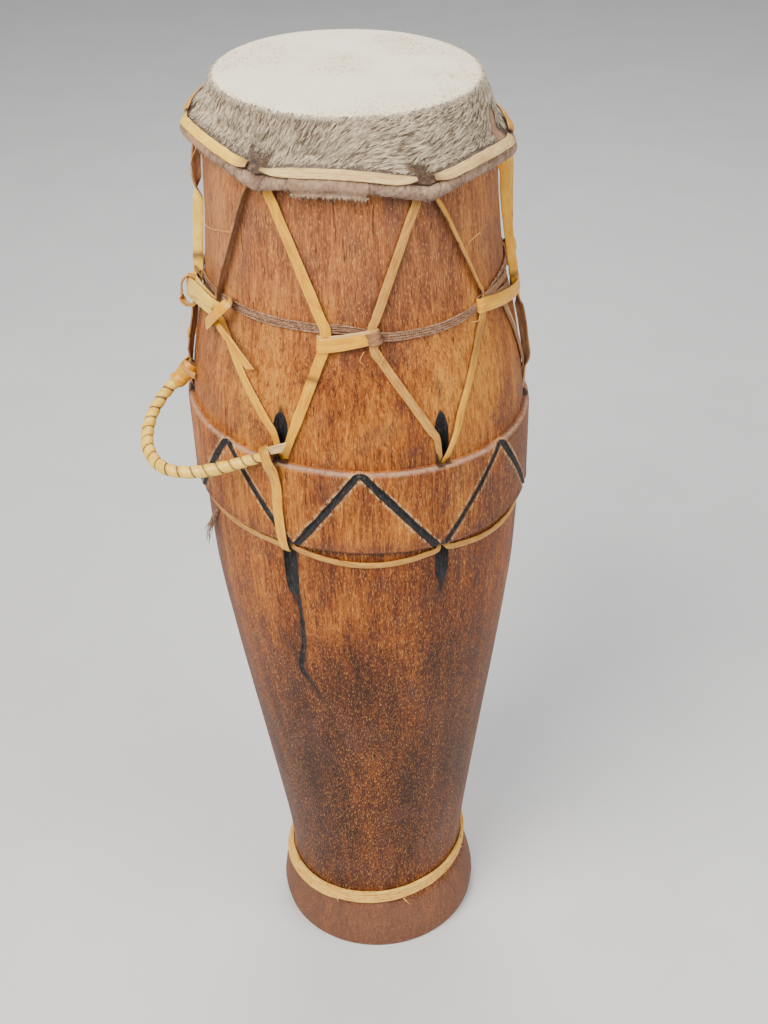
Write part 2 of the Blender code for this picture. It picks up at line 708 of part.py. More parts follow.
def make_bands():
    first, height = BELT[0]
    ring = [*BELT, (first + 360, height)]

    def over_bindings(angle):
        return smooth_between(first + (angle - first) % 360, ring)

    def waist(angle):
        return WAIST_HEIGHT + RAFFIA_LEAN * RAFFIA_RADIUS * math.sin(math.radians(angle))

    band("twine_belt", over_bindings, BELT_LIFT, BELT_HALF_TALL, BELT_THICK, twine_brown)
    band("raffia_band", waist, RAFFIA_LIFT, RAFFIA_HALF_TALL, RAFFIA_THICK, straw)


def make_handle():
    route = rounded_route([place(*stop) for stop in HANDLE_ROUTE], rounds=1)
    count = len(route)
    slim = HANDLE_END_HALF_THICK / HANDLE_HALF_THICK
    shares = [1 - (1 - slim) * max(0, k - (count - 4)) / 3 for k in range(count)]
    tube("handle", route, HANDLE_HALF_THICK, rattan_skin, drum, sides=3, shares=shares)

    # The knot: a short sleeve of turns round the upper end
    along = (route[1] - route[0]).normalized()
    bm = bmesh.new()
    bmesh.ops.create_cone(bm, cap_ends=False, segments=12, depth=KNOT_LONG,
                          radius1=HANDLE_HALF_THICK + 2 * GAP, radius2=HANDLE_HALF_THICK + 2 * GAP)
    lay = along.to_track_quat("Z", "Y")
    middle = route[0] + along * (KNOT_LONG / 2 - KNOT_OVER_END)
    for vertex in bm.verts:
        vertex.co = lay @ vertex.co + middle
    mesh = bpy.data.meshes.new("handle_knot")
    bm.to_mesh(mesh)
    bm.free()
    knot = add_object("handle_knot", mesh, rattan_inside)
    wall = knot.modifiers.new("thickness", "SOLIDIFY")
    wall.thickness = KNOT_THICK
    wall.offset = 1

    strip("handle_tie", [place(*stop) for stop in TIE_ROUTE], TIE_WIDTH, STRAP_THICK, rattan_skin)


make_body()
make_hide()
make_hoop()
make_hoop_strips()
make_strands()
make_collar_strips()
make_bindings()
make_bands()
make_handle()
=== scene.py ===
import json
import math

import bmesh
import bpy
import numpy as np
from mathutils import Matrix, Vector

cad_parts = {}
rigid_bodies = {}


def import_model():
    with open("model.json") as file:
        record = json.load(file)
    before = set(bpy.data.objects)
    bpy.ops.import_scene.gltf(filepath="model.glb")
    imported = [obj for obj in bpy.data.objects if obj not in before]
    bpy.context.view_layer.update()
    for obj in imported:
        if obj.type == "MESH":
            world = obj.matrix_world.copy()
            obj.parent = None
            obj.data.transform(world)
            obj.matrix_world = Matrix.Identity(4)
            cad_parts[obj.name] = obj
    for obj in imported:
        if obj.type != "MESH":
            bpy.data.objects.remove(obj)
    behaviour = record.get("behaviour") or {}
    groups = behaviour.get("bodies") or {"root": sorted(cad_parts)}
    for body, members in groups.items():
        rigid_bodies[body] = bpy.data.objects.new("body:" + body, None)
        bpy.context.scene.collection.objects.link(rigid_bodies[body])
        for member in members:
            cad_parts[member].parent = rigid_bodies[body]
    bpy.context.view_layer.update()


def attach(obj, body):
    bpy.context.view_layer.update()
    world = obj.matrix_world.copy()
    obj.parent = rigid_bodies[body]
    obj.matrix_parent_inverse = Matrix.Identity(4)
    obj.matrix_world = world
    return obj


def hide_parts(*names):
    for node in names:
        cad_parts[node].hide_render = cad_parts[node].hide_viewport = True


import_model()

# Places on the drum: degrees round its axis, 0 at the front and positive towards +X,
# distance from the axis, and height above the floor, all in metres
drum = {
    "axisX": 0.0134,
    "wall": ((0.0, 0.0780), (0.014, 0.0794), (0.044, 0.0730), (0.0525, 0.0699), (0.084, 0.0710),
             (0.140, 0.0781), (0.210, 0.0876), (0.280, 0.0974), (0.350, 0.1060), (0.392, 0.1085),
             (0.424, 0.1092), (0.490, 0.1106), (0.532, 0.1055), (0.574, 0.0967), (0.616, 0.0925),
             (0.651, 0.0905), (0.679, 0.0856), (0.6975, 0.0795)),
    "hollow": ((0.0, 0.0620), (0.0525, 0.0555), (0.140, 0.0635), (0.290, 0.0830),
               (0.420, 0.0945), (0.500, 0.0940), (0.590, 0.0795), (0.6955, 0.0690)),
    "collarBottom": 0.4238, "collarTop": 0.4852, "collarRadius": 0.1151, "collarLean": -0.066,
    "headLean": -0.028,
    "corners": (-33, 26, 84, 147, 208, 269),
    "tunnels": (-27, 27, 86, 149, 211, 274),
    "hoopHeight": 0.6628, "hoopRadius": 0.0970, "hoopLean": -0.085, "hoopDip": 0.0032,
    "hoopOut": 0.0016, "hoopThick": 0.0043,
}


def capped(value):
    return np.clip(value, 0, 1)


def sine(degrees):
    return np.sin(np.radians(degrees))


def hermite(table, samples=1400):
    # A smooth curve through a table of (height, radius), sampled finely for np.interp
    zs, rs = (np.array(column) for column in zip(*table))
    slopes = np.gradient(rs, zs)
    slopes[1:-1] = (rs[2:] - rs[:-2]) / (zs[2:] - zs[:-2])
    heights = np.linspace(zs[0], zs[-1], samples)
    k = np.clip(np.searchsorted(zs, heights, side="right") - 1, 0, len(zs) - 2)
    span = zs[k + 1] - zs[k]
    t = (heights - zs[k]) / span
    radii = ((2 * t**3 - 3 * t**2 + 1) * rs[k] + (t**3 - 2 * t**2 + t) * span * slopes[k]
             + (3 * t**2 - 2 * t**3) * rs[k + 1] + (t**3 - t**2) * span * slopes[k + 1])
    return heights, radii


wallCurve = hermite(drum["wall"])
leanHeights = (0.380, 0.420, 0.490, 0.545, 0.610, 0.690)
leanValues = (0.0, drum["collarLean"], drum["collarLean"], 0.0, 0.0, drum["headLean"])


def leanAt(height):
    return np.interp(height, leanHeights, leanValues)


def wallRadius(angle, height):
    height = np.asarray(height, float)
    radius = np.interp(height, *wallCurve)
    for _ in range(4):
        carved = height - leanAt(height) * radius * sine(angle)
        radius = np.interp(carved, *wallCurve)
    return radius


def place(angle, radius, height):
    turn = np.radians(np.asarray(angle, float))
    return np.stack(np.broadcast_arrays(radius * np.sin(turn), -radius * np.cos(turn),
                                        np.asarray(height, float)), -1)


def onWall(angle, height, lift):
    return place(angle, wallRadius(angle, height) + lift, height)


def angleOf(points):
    return np.degrees(np.arctan2(points[..., 0], -points[..., 1]))


def spreadOf(points):
    return np.hypot(points[..., 0], points[..., 1])


def outward(points):
    flat = points * (1, 1, 0)
    return flat / np.linalg.norm(flat, axis=-1, keepdims=True)


def unit(vectors):
    return vectors / np.maximum(np.linalg.norm(vectors, axis=-1, keepdims=True), 1e-9)


def offWall(points, step=0.004):
    # The way out of the wall's surface, which leans with the outline
    angle, z = angleOf(points), points[..., 2]
    rise = (wallRadius(angle, z + step) - wallRadius(angle, z - step)) / (2 * step)
    return unit(outward(points) - rise[..., None] * np.array((0, 0, 1)))


def near(angle, reference):
    return reference + (angle - reference + 180) % 360 - 180


def hoopWave(angle):
    # 1 at a corner of the hoop, -1 midway between two, as along the side of a hexagon
    angle = np.asarray(angle, float) % 360
    corners = sorted(c % 360 for c in drum["corners"])
    ring = np.array([corners[-1] - 360, *corners, corners[0] + 360])
    k = np.clip(np.searchsorted(ring, angle, side="right") - 1, 0, len(ring) - 2)
    half = np.radians(ring[k + 1] - ring[k]) / 2
    offMiddle = np.radians(angle - ring[k]) - half
    return 1 - 2 * (np.cos(offMiddle) - np.cos(half)) / (1 - np.cos(half))


def hoopHeight(angle):
    across = drum["hoopRadius"] * sine(angle)
    return drum["hoopHeight"] + drum["hoopLean"] * across - drum["hoopDip"] * hoopWave(angle)


def collarRise(angle):
    # How far the collar's lean lifts its face
    return drum["collarLean"] * drum["collarRadius"] * sine(angle)


def collarMiddle(angle):
    return (drum["collarBottom"] + drum["collarTop"]) / 2 + collarRise(angle)


def sideways(angle):
    # The way round the drum, towards +angle
    return place(angle + 90, 1, 0)


def ripple(angle, height, waves, seed):
    # A sum of a few smooth waves round and up the drum, from -1 to 1
    draw = np.random.default_rng(seed)
    total = 0
    for _ in range(waves):
        turns, rises = draw.integers(1, 9), draw.uniform(-60, 60)
        total = total + np.sin(np.radians(angle) * turns + height * rises + draw.uniform(0, 6.3))
    return total / waves


def nodeIn(tree, kind, inputs=None, **settings):
    made = tree.nodes.new(kind)
    for key, value in settings.items():
        setattr(made, key, value)
    for key, value in (inputs or {}).items():
        if isinstance(value, bpy.types.NodeSocket):
            tree.links.new(value, made.inputs[key])
        else:
            made.inputs[key].default_value = value
    return made


def newMaterial(name, **sockets):
    material = bpy.data.materials.new(name)
    material.use_nodes = True
    tree = material.node_tree
    shader = tree.nodes["Principled BSDF"]
    for key, value in sockets.items():
        shader.inputs[key.replace("_", " ")].default_value = value
    return material, tree, shader


def spots(tree, coords, stretch, detail=3.0, roughness=0.55, distortion=0.0):
    # Noise whose grains are 1 / stretch metres across along each axis
    mapped = nodeIn(tree, "ShaderNodeMapping", {"Vector": coords, "Scale": stretch})
    return nodeIn(tree, "ShaderNodeTexNoise", {
        "Vector": mapped.outputs[0], "Scale": 1.0, "Detail": detail, "Roughness": roughness,
        "Distortion": distortion}).outputs[0]


def ramp(tree, value, stops):
    made = nodeIn(tree, "ShaderNodeValToRGB", {"Fac": value})
    elements = made.color_ramp.elements
    elements[0].position, elements[1].position = stops[0][0], stops[-1][0]
    for at, _ in stops[1:-1]:
        elements.new(at)
    for element, (_, colour) in zip(elements, stops):
        element.color = (*colour, 1) if len(colour) == 3 else colour
    return made.outputs[0]


def span(tree, value, low, high, toLow=0.0, toHigh=1.0):
    return nodeIn(tree, "ShaderNodeMapRange", {
        "Value": value, "From Min": low, "From Max": high, "To Min": toLow, "To Max": toHigh},
        clamp=True).outputs[0]


def blend(tree, share, first, second, kind="MIX"):
    made = nodeIn(tree, "ShaderNodeMix", data_type="RGBA", blend_type=kind)
    for key, value in ((0, share), (6, first), (7, second)):
        if isinstance(value, bpy.types.NodeSocket):
            tree.links.new(value, made.inputs[key])
        elif key:
            made.inputs[key].default_value = (*value, 1)
        else:
            made.inputs[key].default_value = value
    return made.outputs[2]


def calc(tree, kind, first, second=0.5):
    return nodeIn(tree, "ShaderNodeMath", {0: first, 1: second}, operation=kind).outputs[0]


def times(tree, first, second):
    return calc(tree, "MULTIPLY", first, second)


def mixed(tree, *parts):
    # The sum of some values, each times its own share
    total = None
    for value, share in parts:
        scaled = times(tree, value, share)
        total = scaled if total is None else calc(tree, "ADD", total, scaled)
    return total


def attribute(tree, name):
    return nodeIn(tree, "ShaderNodeAttribute", attribute_name=name).outputs["Fac"]


def raised(tree, height, distance, strength=1.0, under=None):
    inputs = {"Height": height, "Distance": distance, "Strength": strength}
    if under:
        inputs["Normal"] = under
    return nodeIn(tree, "ShaderNodeBump", inputs).outputs[0]


def wear(tree, shader, colour=None, roughness=None, normal=None):
    for key, value in (("Base Color", colour), ("Roughness", roughness), ("Normal", normal)):
        if value:
            tree.links.new(value, shader.inputs[key])


def objectCoords(tree):
    return nodeIn(tree, "ShaderNodeTexCoord").outputs["Object"]


def stripCoords(tree):
    return nodeIn(tree, "ShaderNodeUVMap", uv_map="UVMap").outputs[0]


def stainedWood():
    material, tree, shader = newMaterial("stainedWood", Specular_IOR_Level=0.22)
    coords = objectCoords(tree)
    bands = spots(tree, coords, (42, 42, 5), 4, 0.6, 0.4)
    streaks = spots(tree, coords, (420, 420, 36), 4, 0.62)
    fibres = spots(tree, coords, (1100, 1100, 130), 3, 0.6)
    flecks = spots(tree, coords, (1900, 1900, 330), 2, 0.5)
    ripples = spots(tree, coords, (210, 210, 620), 3, 0.6, 0.6)
    depth = mixed(tree, (bands, 0.95), (streaks, 0.90), (fibres, 0.75))
    # darker where the stain is deeper, and where shade is painted: a line under the collar and a
    # patch on the lower left
    depth = calc(tree, "SUBTRACT", depth, attribute(tree, "toneAndShade"))
    base = ramp(tree, depth, (
        (0.10, (0.024, 0.0060, 0.0036)), (0.30, (0.070, 0.0150, 0.0052)),
        (0.46, (0.142, 0.0300, 0.0056)), (0.60, (0.250, 0.0640, 0.0075)),
        (0.76, (0.400, 0.1250, 0.0130)), (0.95, (0.560, 0.2250, 0.0280))))
    plum = span(tree, spots(tree, coords, (27, 27, 17), 4, 0.65, 0.9), 0.51, 0.66, 0.0, 0.72)
    base = blend(tree, plum, base, (0.085, 0.028, 0.021))
    haze = times(tree, attribute(tree, "haze"), span(tree, streaks, 0.3, 0.7, 0.55, 1.1))
    base = blend(tree, haze, base, (0.42, 0.190, 0.100))
    pores = span(tree, flecks, 0.56, 0.68)
    base = blend(tree, times(tree, pores, span(tree, bands, 0.3, 0.7, 0.3, 0.85)),
                 base, (0.72, 0.33, 0.085))
    dark = span(tree, spots(tree, coords, (900, 900, 70), 2), 0.40, 0.31)
    base = blend(tree, times(tree, dark, 0.75), base, (0.045, 0.012, 0.006))
    base = blend(tree, span(tree, ripples, 0.62, 0.8, 0.0, 0.25), base, (0.40, 0.15, 0.045))
    dust = times(tree, attribute(tree, "dust"), span(tree, streaks, 0.25, 0.7, 0.55, 1.0))
    base = blend(tree, dust, base, (0.235, 0.112, 0.070))
    worn = times(tree, attribute(tree, "worn"),
                span(tree, spots(tree, coords, (330, 330, 330), 4, 0.7), 0.30, 0.58, 0.25, 1.0))
    base = blend(tree, worn, base, (0.44, 0.265, 0.180))
    chips = times(tree, attribute(tree, "chips"),
                 span(tree, spots(tree, coords, (480, 480, 260), 3, 0.7), 0.46, 0.54))
    base = blend(tree, chips, base, (0.74, 0.45, 0.20))
    soot = times(tree, attribute(tree, "soot"), span(tree, fibres, 0.25, 0.6, 0.7, 1.15))
    base = blend(tree, soot, base, (0.012, 0.009, 0.008))
    rough = span(tree, streaks, 0.2, 0.8, 0.46, 0.62)
    rough = calc(tree, "ADD", rough, times(tree, calc(tree, "ADD", dust, worn), 0.25))
    bump = raised(tree, fibres, 0.00022, 0.55)
    bump = raised(tree, flecks, 0.00028, 0.5, bump)
    bump = raised(tree, ripples, 0.0003, 0.35, bump)
    wear(tree, shader, base, rough, bump)
    return material


def charredWood():
    material, tree, shader = newMaterial("charredWood", Specular_IOR_Level=0.3)
    coords = objectCoords(tree)
    grain = spots(tree, coords, (900, 900, 160), 4, 0.7)
    base = ramp(tree, grain, ((0.3, (0.006, 0.006, 0.007)), (0.56, (0.024, 0.025, 0.030)),
                              (0.68, (0.14, 0.085, 0.055))))
    wear(tree, shader, base, span(tree, grain, 0.3, 0.8, 0.55, 0.8),
         raised(tree, grain, 0.0005, 0.9))
    return material


def hollowWood():
    material, tree, shader = newMaterial("hollowWood", Specular_IOR_Level=0.3)
    coords = objectCoords(tree)
    grain = spots(tree, coords, (500, 500, 30), 4, 0.6)
    marks = spots(tree, coords, (60, 60, 24), 3, 0.5, 0.8)
    base = ramp(tree, mixed(tree, (grain, 0.6), (marks, 0.4)),
                ((0.3, (0.10, 0.045, 0.020)), (0.55, (0.24, 0.125, 0.058)),
                 (0.75, (0.36, 0.21, 0.11))))
    bump = raised(tree, marks, 0.003, 0.6, raised(tree, grain, 0.0006, 0.7))
    wear(tree, shader, base, span(tree, grain, 0.3, 0.8, 0.65, 0.85), bump)
    return material


def shavedHide():
    material, tree, shader = newMaterial("shavedHide", Roughness=0.62, Specular_IOR_Level=0.35,
                                         Subsurface_Weight=0.12, Subsurface_Scale=0.002)
    coords = objectCoords(tree)
    cloud = spots(tree, coords, (22, 22, 22), 3, 0.5)
    speck = spots(tree, coords, (420, 420, 420), 4, 0.65)
    pale = ramp(tree, mixed(tree, (cloud, 0.45), (speck, 0.55)),
                ((0.36, (0.80, 0.66, 0.47)), (0.48, (0.93, 0.84, 0.64)),
                 (0.62, (0.97, 0.92, 0.74))))
    stipple = span(tree, spots(tree, coords, (800, 260, 600), 3, 0.6), 0.54, 0.62, 0.0, 0.75)
    pale = blend(tree, times(tree, stipple, span(tree, cloud, 0.55, 0.45)), pale,
                 (0.62, 0.40, 0.25))
    hairy = ramp(tree, speck, ((0.3, (0.060, 0.042, 0.032)), (0.55, (0.14, 0.100, 0.078)),
                               (0.75, (0.30, 0.23, 0.18))))
    torn = attribute(tree, "flank")
    base = blend(tree, torn, pale, hairy)
    inside = attribute(tree, "tan")
    tan = ramp(tree, speck, ((0.3, (0.30, 0.155, 0.085)), (0.7, (0.55, 0.33, 0.19))))
    base = blend(tree, inside, base, tan)
    # round the torn slots the hide is painted dark brown: torn, dried hide, and painted shade on
    # the slots' edges standing in for the shaded holes
    driedAndShaded = ramp(tree, speck,
                 ((0.3, (0.022, 0.013, 0.008)), (0.55, (0.085, 0.050, 0.028)),
                  (0.75, (0.22, 0.135, 0.075))))
    base = blend(tree, attribute(tree, "bareAndShaded"), base, driedAndShaded)
    bump = raised(tree, cloud, 0.0008, 0.35, raised(tree, speck, 0.00025, 0.5))
    wear(tree, shader, base, normal=bump)
    return material


def rolledHide():
    material, tree, shader = newMaterial("rolledHide", Specular_IOR_Level=0.3)
    coords = objectCoords(tree)
    cloud = spots(tree, coords, (70, 70, 90), 4, 0.65, 0.6)
    fine = spots(tree, coords, (650, 650, 420), 4, 0.65)
    base = ramp(tree, mixed(tree, (cloud, 0.6), (fine, 0.4)),
                ((0.28, (0.075, 0.042, 0.026)), (0.42, (0.19, 0.115, 0.075)),
                 (0.56, (0.37, 0.245, 0.165)), (0.72, (0.60, 0.445, 0.305))))
    base = blend(tree, times(tree, attribute(tree, "seam"), 0.6), base, (0.035, 0.021, 0.016))
    base = blend(tree, times(tree, attribute(tree, "tan"), 0.8), base, (0.42, 0.24, 0.135))
    rough = span(tree, fine, 0.3, 0.7, 0.58, 0.82)
    bump = raised(tree, cloud, 0.0012, 0.5, raised(tree, fine, 0.0004, 0.7))
    wear(tree, shader, base, rough, bump)
    return material


def hairMaterial(name, root, tip, darkHairAndShadow):
    material, tree, shader = newMaterial(name, Roughness=0.55, Specular_IOR_Level=0.35)
    shade = attribute(tree, "shade")
    lit = blend(tree, span(tree, attribute(tree, "along"), 0.0, 0.6), root, tip)
    # The shade attribute darkens some tufts and hairs towards the darkest colour: partly the coat's
    # dark hairs, partly a painted shadow for the gaps between tufts
    base = blend(tree, span(tree, shade, 0.10, 0.55, 0.92, 0.0), lit, darkHairAndShadow)
    wear(tree, shader, base)
    return material


def rattan(name, low, middle, high, lines, roughness, fibrous, mark):
    # Split rattan: fibres run along the strip, which its UV map follows in metres
    material, tree, shader = newMaterial(name, Specular_IOR_Level=0.5 if not fibrous else 0.3)
    coords = stripCoords(tree)
    run = spots(tree, coords, (28, 900, 1), 4, 0.6)
    fine = spots(tree, coords, (110, 3200, 1), 3, 0.6)
    blotch = spots(tree, coords, (70, 190, 1), 4, 0.6, 0.5)
    shares = (0.45, 0.35, 0.2) if fibrous else (0.3, 0.6, 0.1)
    mix = mixed(tree, *zip((run, blotch, fine), shares))
    base = ramp(tree, mix, ((0.34, low), (0.5, middle), (0.66, high)))
    cracks = span(tree, fine if fibrous else run, 0.44, 0.36, 0.0, 0.85 if fibrous else 0.3)
    base = blend(tree, cracks, base, lines)
    spotty = times(tree, span(tree, spots(tree, coords, (420, 420, 1), 3), 0.66, 0.74), 0.6)
    base = blend(tree, spotty, base, mark)
    base = blend(tree, attribute(tree, "mark"), base, mark)
    rough = span(tree, blotch, 0.3, 0.7, roughness - 0.06, roughness + 0.1)
    bump = raised(tree, fine, 0.00035 if fibrous else 0.00008, 0.8,
                  raised(tree, run, 0.0005 if fibrous else 0.00018, 0.7))
    wear(tree, shader, base, rough, bump)
    return material


def fibreMaterial(name, low, middle, high, stretch, roughness=0.7):
    material, tree, shader = newMaterial(name, Specular_IOR_Level=0.3)
    coords = objectCoords(tree)
    broad = spots(tree, coords, stretch, 3, 0.6)
    fine = spots(tree, coords, tuple(4 * v for v in stretch), 3, 0.6)
    base = ramp(tree, mixed(tree, (broad, 0.6), (fine, 0.4)),
                ((0.33, low), (0.5, middle), (0.67, high)))
    wear(tree, shader, base, span(tree, broad, 0.3, 0.7, roughness - 0.1, roughness + 0.1),
         raised(tree, fine, 0.0002, 0.6))
    return material


finishes = {
    "wood": stainedWood(), "charred": charredWood(), "hollow": hollowWood(),
    "hide": shavedHide(), "rolled": rolledHide(),
    # the third colour of each hair finish is partly painted shadow between tufts
    "fur": hairMaterial("fur", (0.46, 0.295, 0.180), (1.0, 0.87, 0.66), (0.085, 0.047, 0.028)),
    "whiteHair": hairMaterial("whiteHair", (0.60, 0.46, 0.32), (0.95, 0.87, 0.72),
                              (0.30, 0.21, 0.14)),
    "golden": rattan("goldenRattan", (0.52, 0.20, 0.008), (0.76, 0.345, 0.010), (0.90, 0.48, 0.020),
                     (0.40, 0.17, 0.020), 0.36, False, (0.16, 0.065, 0.018)),
    "yellow": rattan("yellowRattan", (0.74, 0.40, 0.040), (0.90, 0.56, 0.065), (0.98, 0.72, 0.13),
                     (0.55, 0.32, 0.06), 0.38, False, (0.17, 0.075, 0.022)),
    "pale": rattan("paleRattan", (0.52, 0.31, 0.105), (0.74, 0.50, 0.20), (0.88, 0.68, 0.34),
                   (0.30, 0.150, 0.045), 0.6, True, (0.26, 0.14, 0.06)),
    "tawny": rattan("tawnyRattan", (0.38, 0.155, 0.028), (0.60, 0.285, 0.055), (0.76, 0.43, 0.11),
                    (0.20, 0.080, 0.020), 0.5, True, (0.16, 0.07, 0.025)),
    "brown": rattan("brownRattan", (0.17, 0.070, 0.028), (0.33, 0.165, 0.078), (0.50, 0.30, 0.165),
                    (0.085, 0.034, 0.016), 0.68, True, (0.07, 0.03, 0.015)),
    "twine": fibreMaterial("brownTwine", (0.11, 0.048, 0.025), (0.29, 0.150, 0.085),
                           (0.52, 0.33, 0.205), (260, 260, 900)),
    "raffia": fibreMaterial("strawRaffia", (0.56, 0.26, 0.035), (0.84, 0.49, 0.095),
                            (0.95, 0.68, 0.22), (120, 120, 900), 0.6),
}
for key, finish in finishes.items():
    finish.name = key + "Finish"
print("materials made:", len(finishes))


def addPiece(name, mesh, materials, replaces=(), sharp=40):
    # The mesh moves to the drum's axis, and its object stays at the origin
    mesh.transform(Matrix.Translation((drum["axisX"], 0, 0)))
    mesh.name = name
    if not len(mesh.materials):
        for finish in materials:
            mesh.materials.append(finishes[finish])
    mesh.shade_smooth()
    if sharp:
        mesh.set_sharp_from_angle(angle=math.radians(sharp))
    piece = bpy.data.objects.new(name, mesh)
    bpy.context.scene.collection.objects.link(piece)
    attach(piece, "root")
    if replaces:
        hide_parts(*replaces)
    return piece


def meshFrom(bm, name):
    mesh = bpy.data.meshes.new(name)
    bm.to_mesh(mesh)
    bm.free()
    return mesh


def looseObject(mesh):
    thing = bpy.data.objects.new(mesh.name, mesh)
    bpy.context.scene.collection.objects.link(thing)
    return thing


def applied(thing):
    # The object's mesh with its modifiers in it, and the object taken away
    dg = bpy.context.evaluated_depsgraph_get()
    mesh = bpy.data.meshes.new_from_object(thing.evaluated_get(dg), depsgraph=dg)
    bpy.data.objects.remove(thing, do_unlink=True)
    return mesh


def points(mesh):
    flat = np.empty(len(mesh.vertices) * 3, np.float32)
    mesh.vertices.foreach_get("co", flat)
    return flat.reshape(-1, 3).astype(float)


def setPoints(mesh, moved):
    mesh.vertices.foreach_set("co", np.ascontiguousarray(moved, np.float32).ravel())
    mesh.update()


def setValues(mesh, name, values):
    layer = mesh.attributes.get(name) or mesh.attributes.new(name, "FLOAT", "POINT")
    layer.data.foreach_set("value", np.ascontiguousarray(values, np.float32).ravel())


def merged(*meshes):
    # Several meshes as one, with their attributes and materials kept
    things = [looseObject(mesh) for mesh in meshes]
    with bpy.context.temp_override(active_object=things[0], object=things[0],
                                   selected_objects=things, selected_editable_objects=things):
        bpy.ops.object.join()
    mesh = things[0].data
    bpy.data.objects.remove(things[0], do_unlink=True)
    return mesh


def turnedMesh(name, outline, sides, closed=False):
    # An outline of (radius, height) spun round the axis
    bm = bmesh.new()
    corners = [bm.verts.new((0, -radius, height)) for radius, height in outline]
    edges = [bm.edges.new(pair) for pair in zip(corners, corners[1:])]
    if closed:
        edges.append(bm.edges.new((corners[-1], corners[0])))
    bmesh.ops.spin(bm, geom=corners + edges, cent=(0, 0, 0), axis=(0, 0, 1), dvec=(0, 0, 0),
                   angle=2 * math.pi, steps=sides, use_merge=True, use_duplicate=False)
    bmesh.ops.remove_doubles(bm, verts=bm.verts, dist=0.000002)
    bmesh.ops.recalc_face_normals(bm, faces=bm.faces)
    return meshFrom(bm, name)


def tubes(name, routes, radius, sides=2, shares=None, cyclic=False, caps=True):
    # Round cords along routes of points, as one mesh; shares thin or thicken them
    curve = bpy.data.curves.new(name, "CURVE")
    curve.dimensions = "3D"
    curve.bevel_depth = radius
    curve.bevel_resolution = sides
    curve.use_fill_caps = caps
    for number, route in enumerate(routes):
        spline = curve.splines.new("POLY")
        spline.points.add(len(route) - 1)
        spline.points.foreach_set("co",
                                  np.c_[route, np.ones(len(route))].astype(np.float32).ravel())
        if shares is not None:
            spline.points.foreach_set("radius", np.asarray(shares[number], np.float32))
        spline.use_cyclic_u = cyclic
    thing = bpy.data.objects.new(name, curve)
    bpy.context.scene.collection.objects.link(thing)
    mesh = applied(thing)
    bpy.data.curves.remove(curve)
    mesh.materials.clear()
    return mesh


def smoothRoute(route, step):
    # A Catmull-Rom curve through the stops, with a point about every step
    stops = np.asarray(route, float)
    padded = np.vstack([2 * stops[0] - stops[1], stops, 2 * stops[-1] - stops[-2]])
    out = []
    for k in range(len(stops) - 1):
        a, b, c, d = padded[k:k + 4]
        count = max(1, round(np.linalg.norm(c - b) / step))
        t = (np.arange(count) / count)[:, None]
        out.append(0.5 * (2 * b + (c - a) * t + (2 * a - 5 * b + 4 * c - d) * t**2
                          + (3 * b - a - 3 * c + d) * t**3))
    return np.vstack([*out, stops[-1:]])


def lengthAlong(route):
    return np.r_[0, np.cumsum(np.linalg.norm(np.diff(route, axis=0), axis=1))]


def stripGrid(name, columns, rows, stretch, shift):
    # A flat grid whose UV map is stretched to metres and shifted
    bm = bmesh.new()
    uv = bm.loops.layers.uv.new("UVMap")
    bmesh.ops.create_grid(bm, x_segments=columns, y_segments=rows, size=0.5, calc_uvs=True)
    for face in bm.faces:
        for loop in face.loops:
            u, v = loop[uv].uv
            loop[uv].uv = (u * stretch[0] + shift[0], v * stretch[1] + shift[1])
    return meshFrom(bm, name)


def walled(mesh, thick, offset, even=False, backed=False):
    # A surface given a wall; a backed one has its second finish on the back and the rim
    thing = looseObject(mesh)
    wall = thing.modifiers.new("wall", "SOLIDIFY")
    wall.thickness, wall.offset, wall.use_even_offset = thick, offset, even
    if backed:
        wall.material_offset = wall.material_offset_rim = 1
    return thing


ragStep = 0.006    # metres between the places where a strip's edge wanders


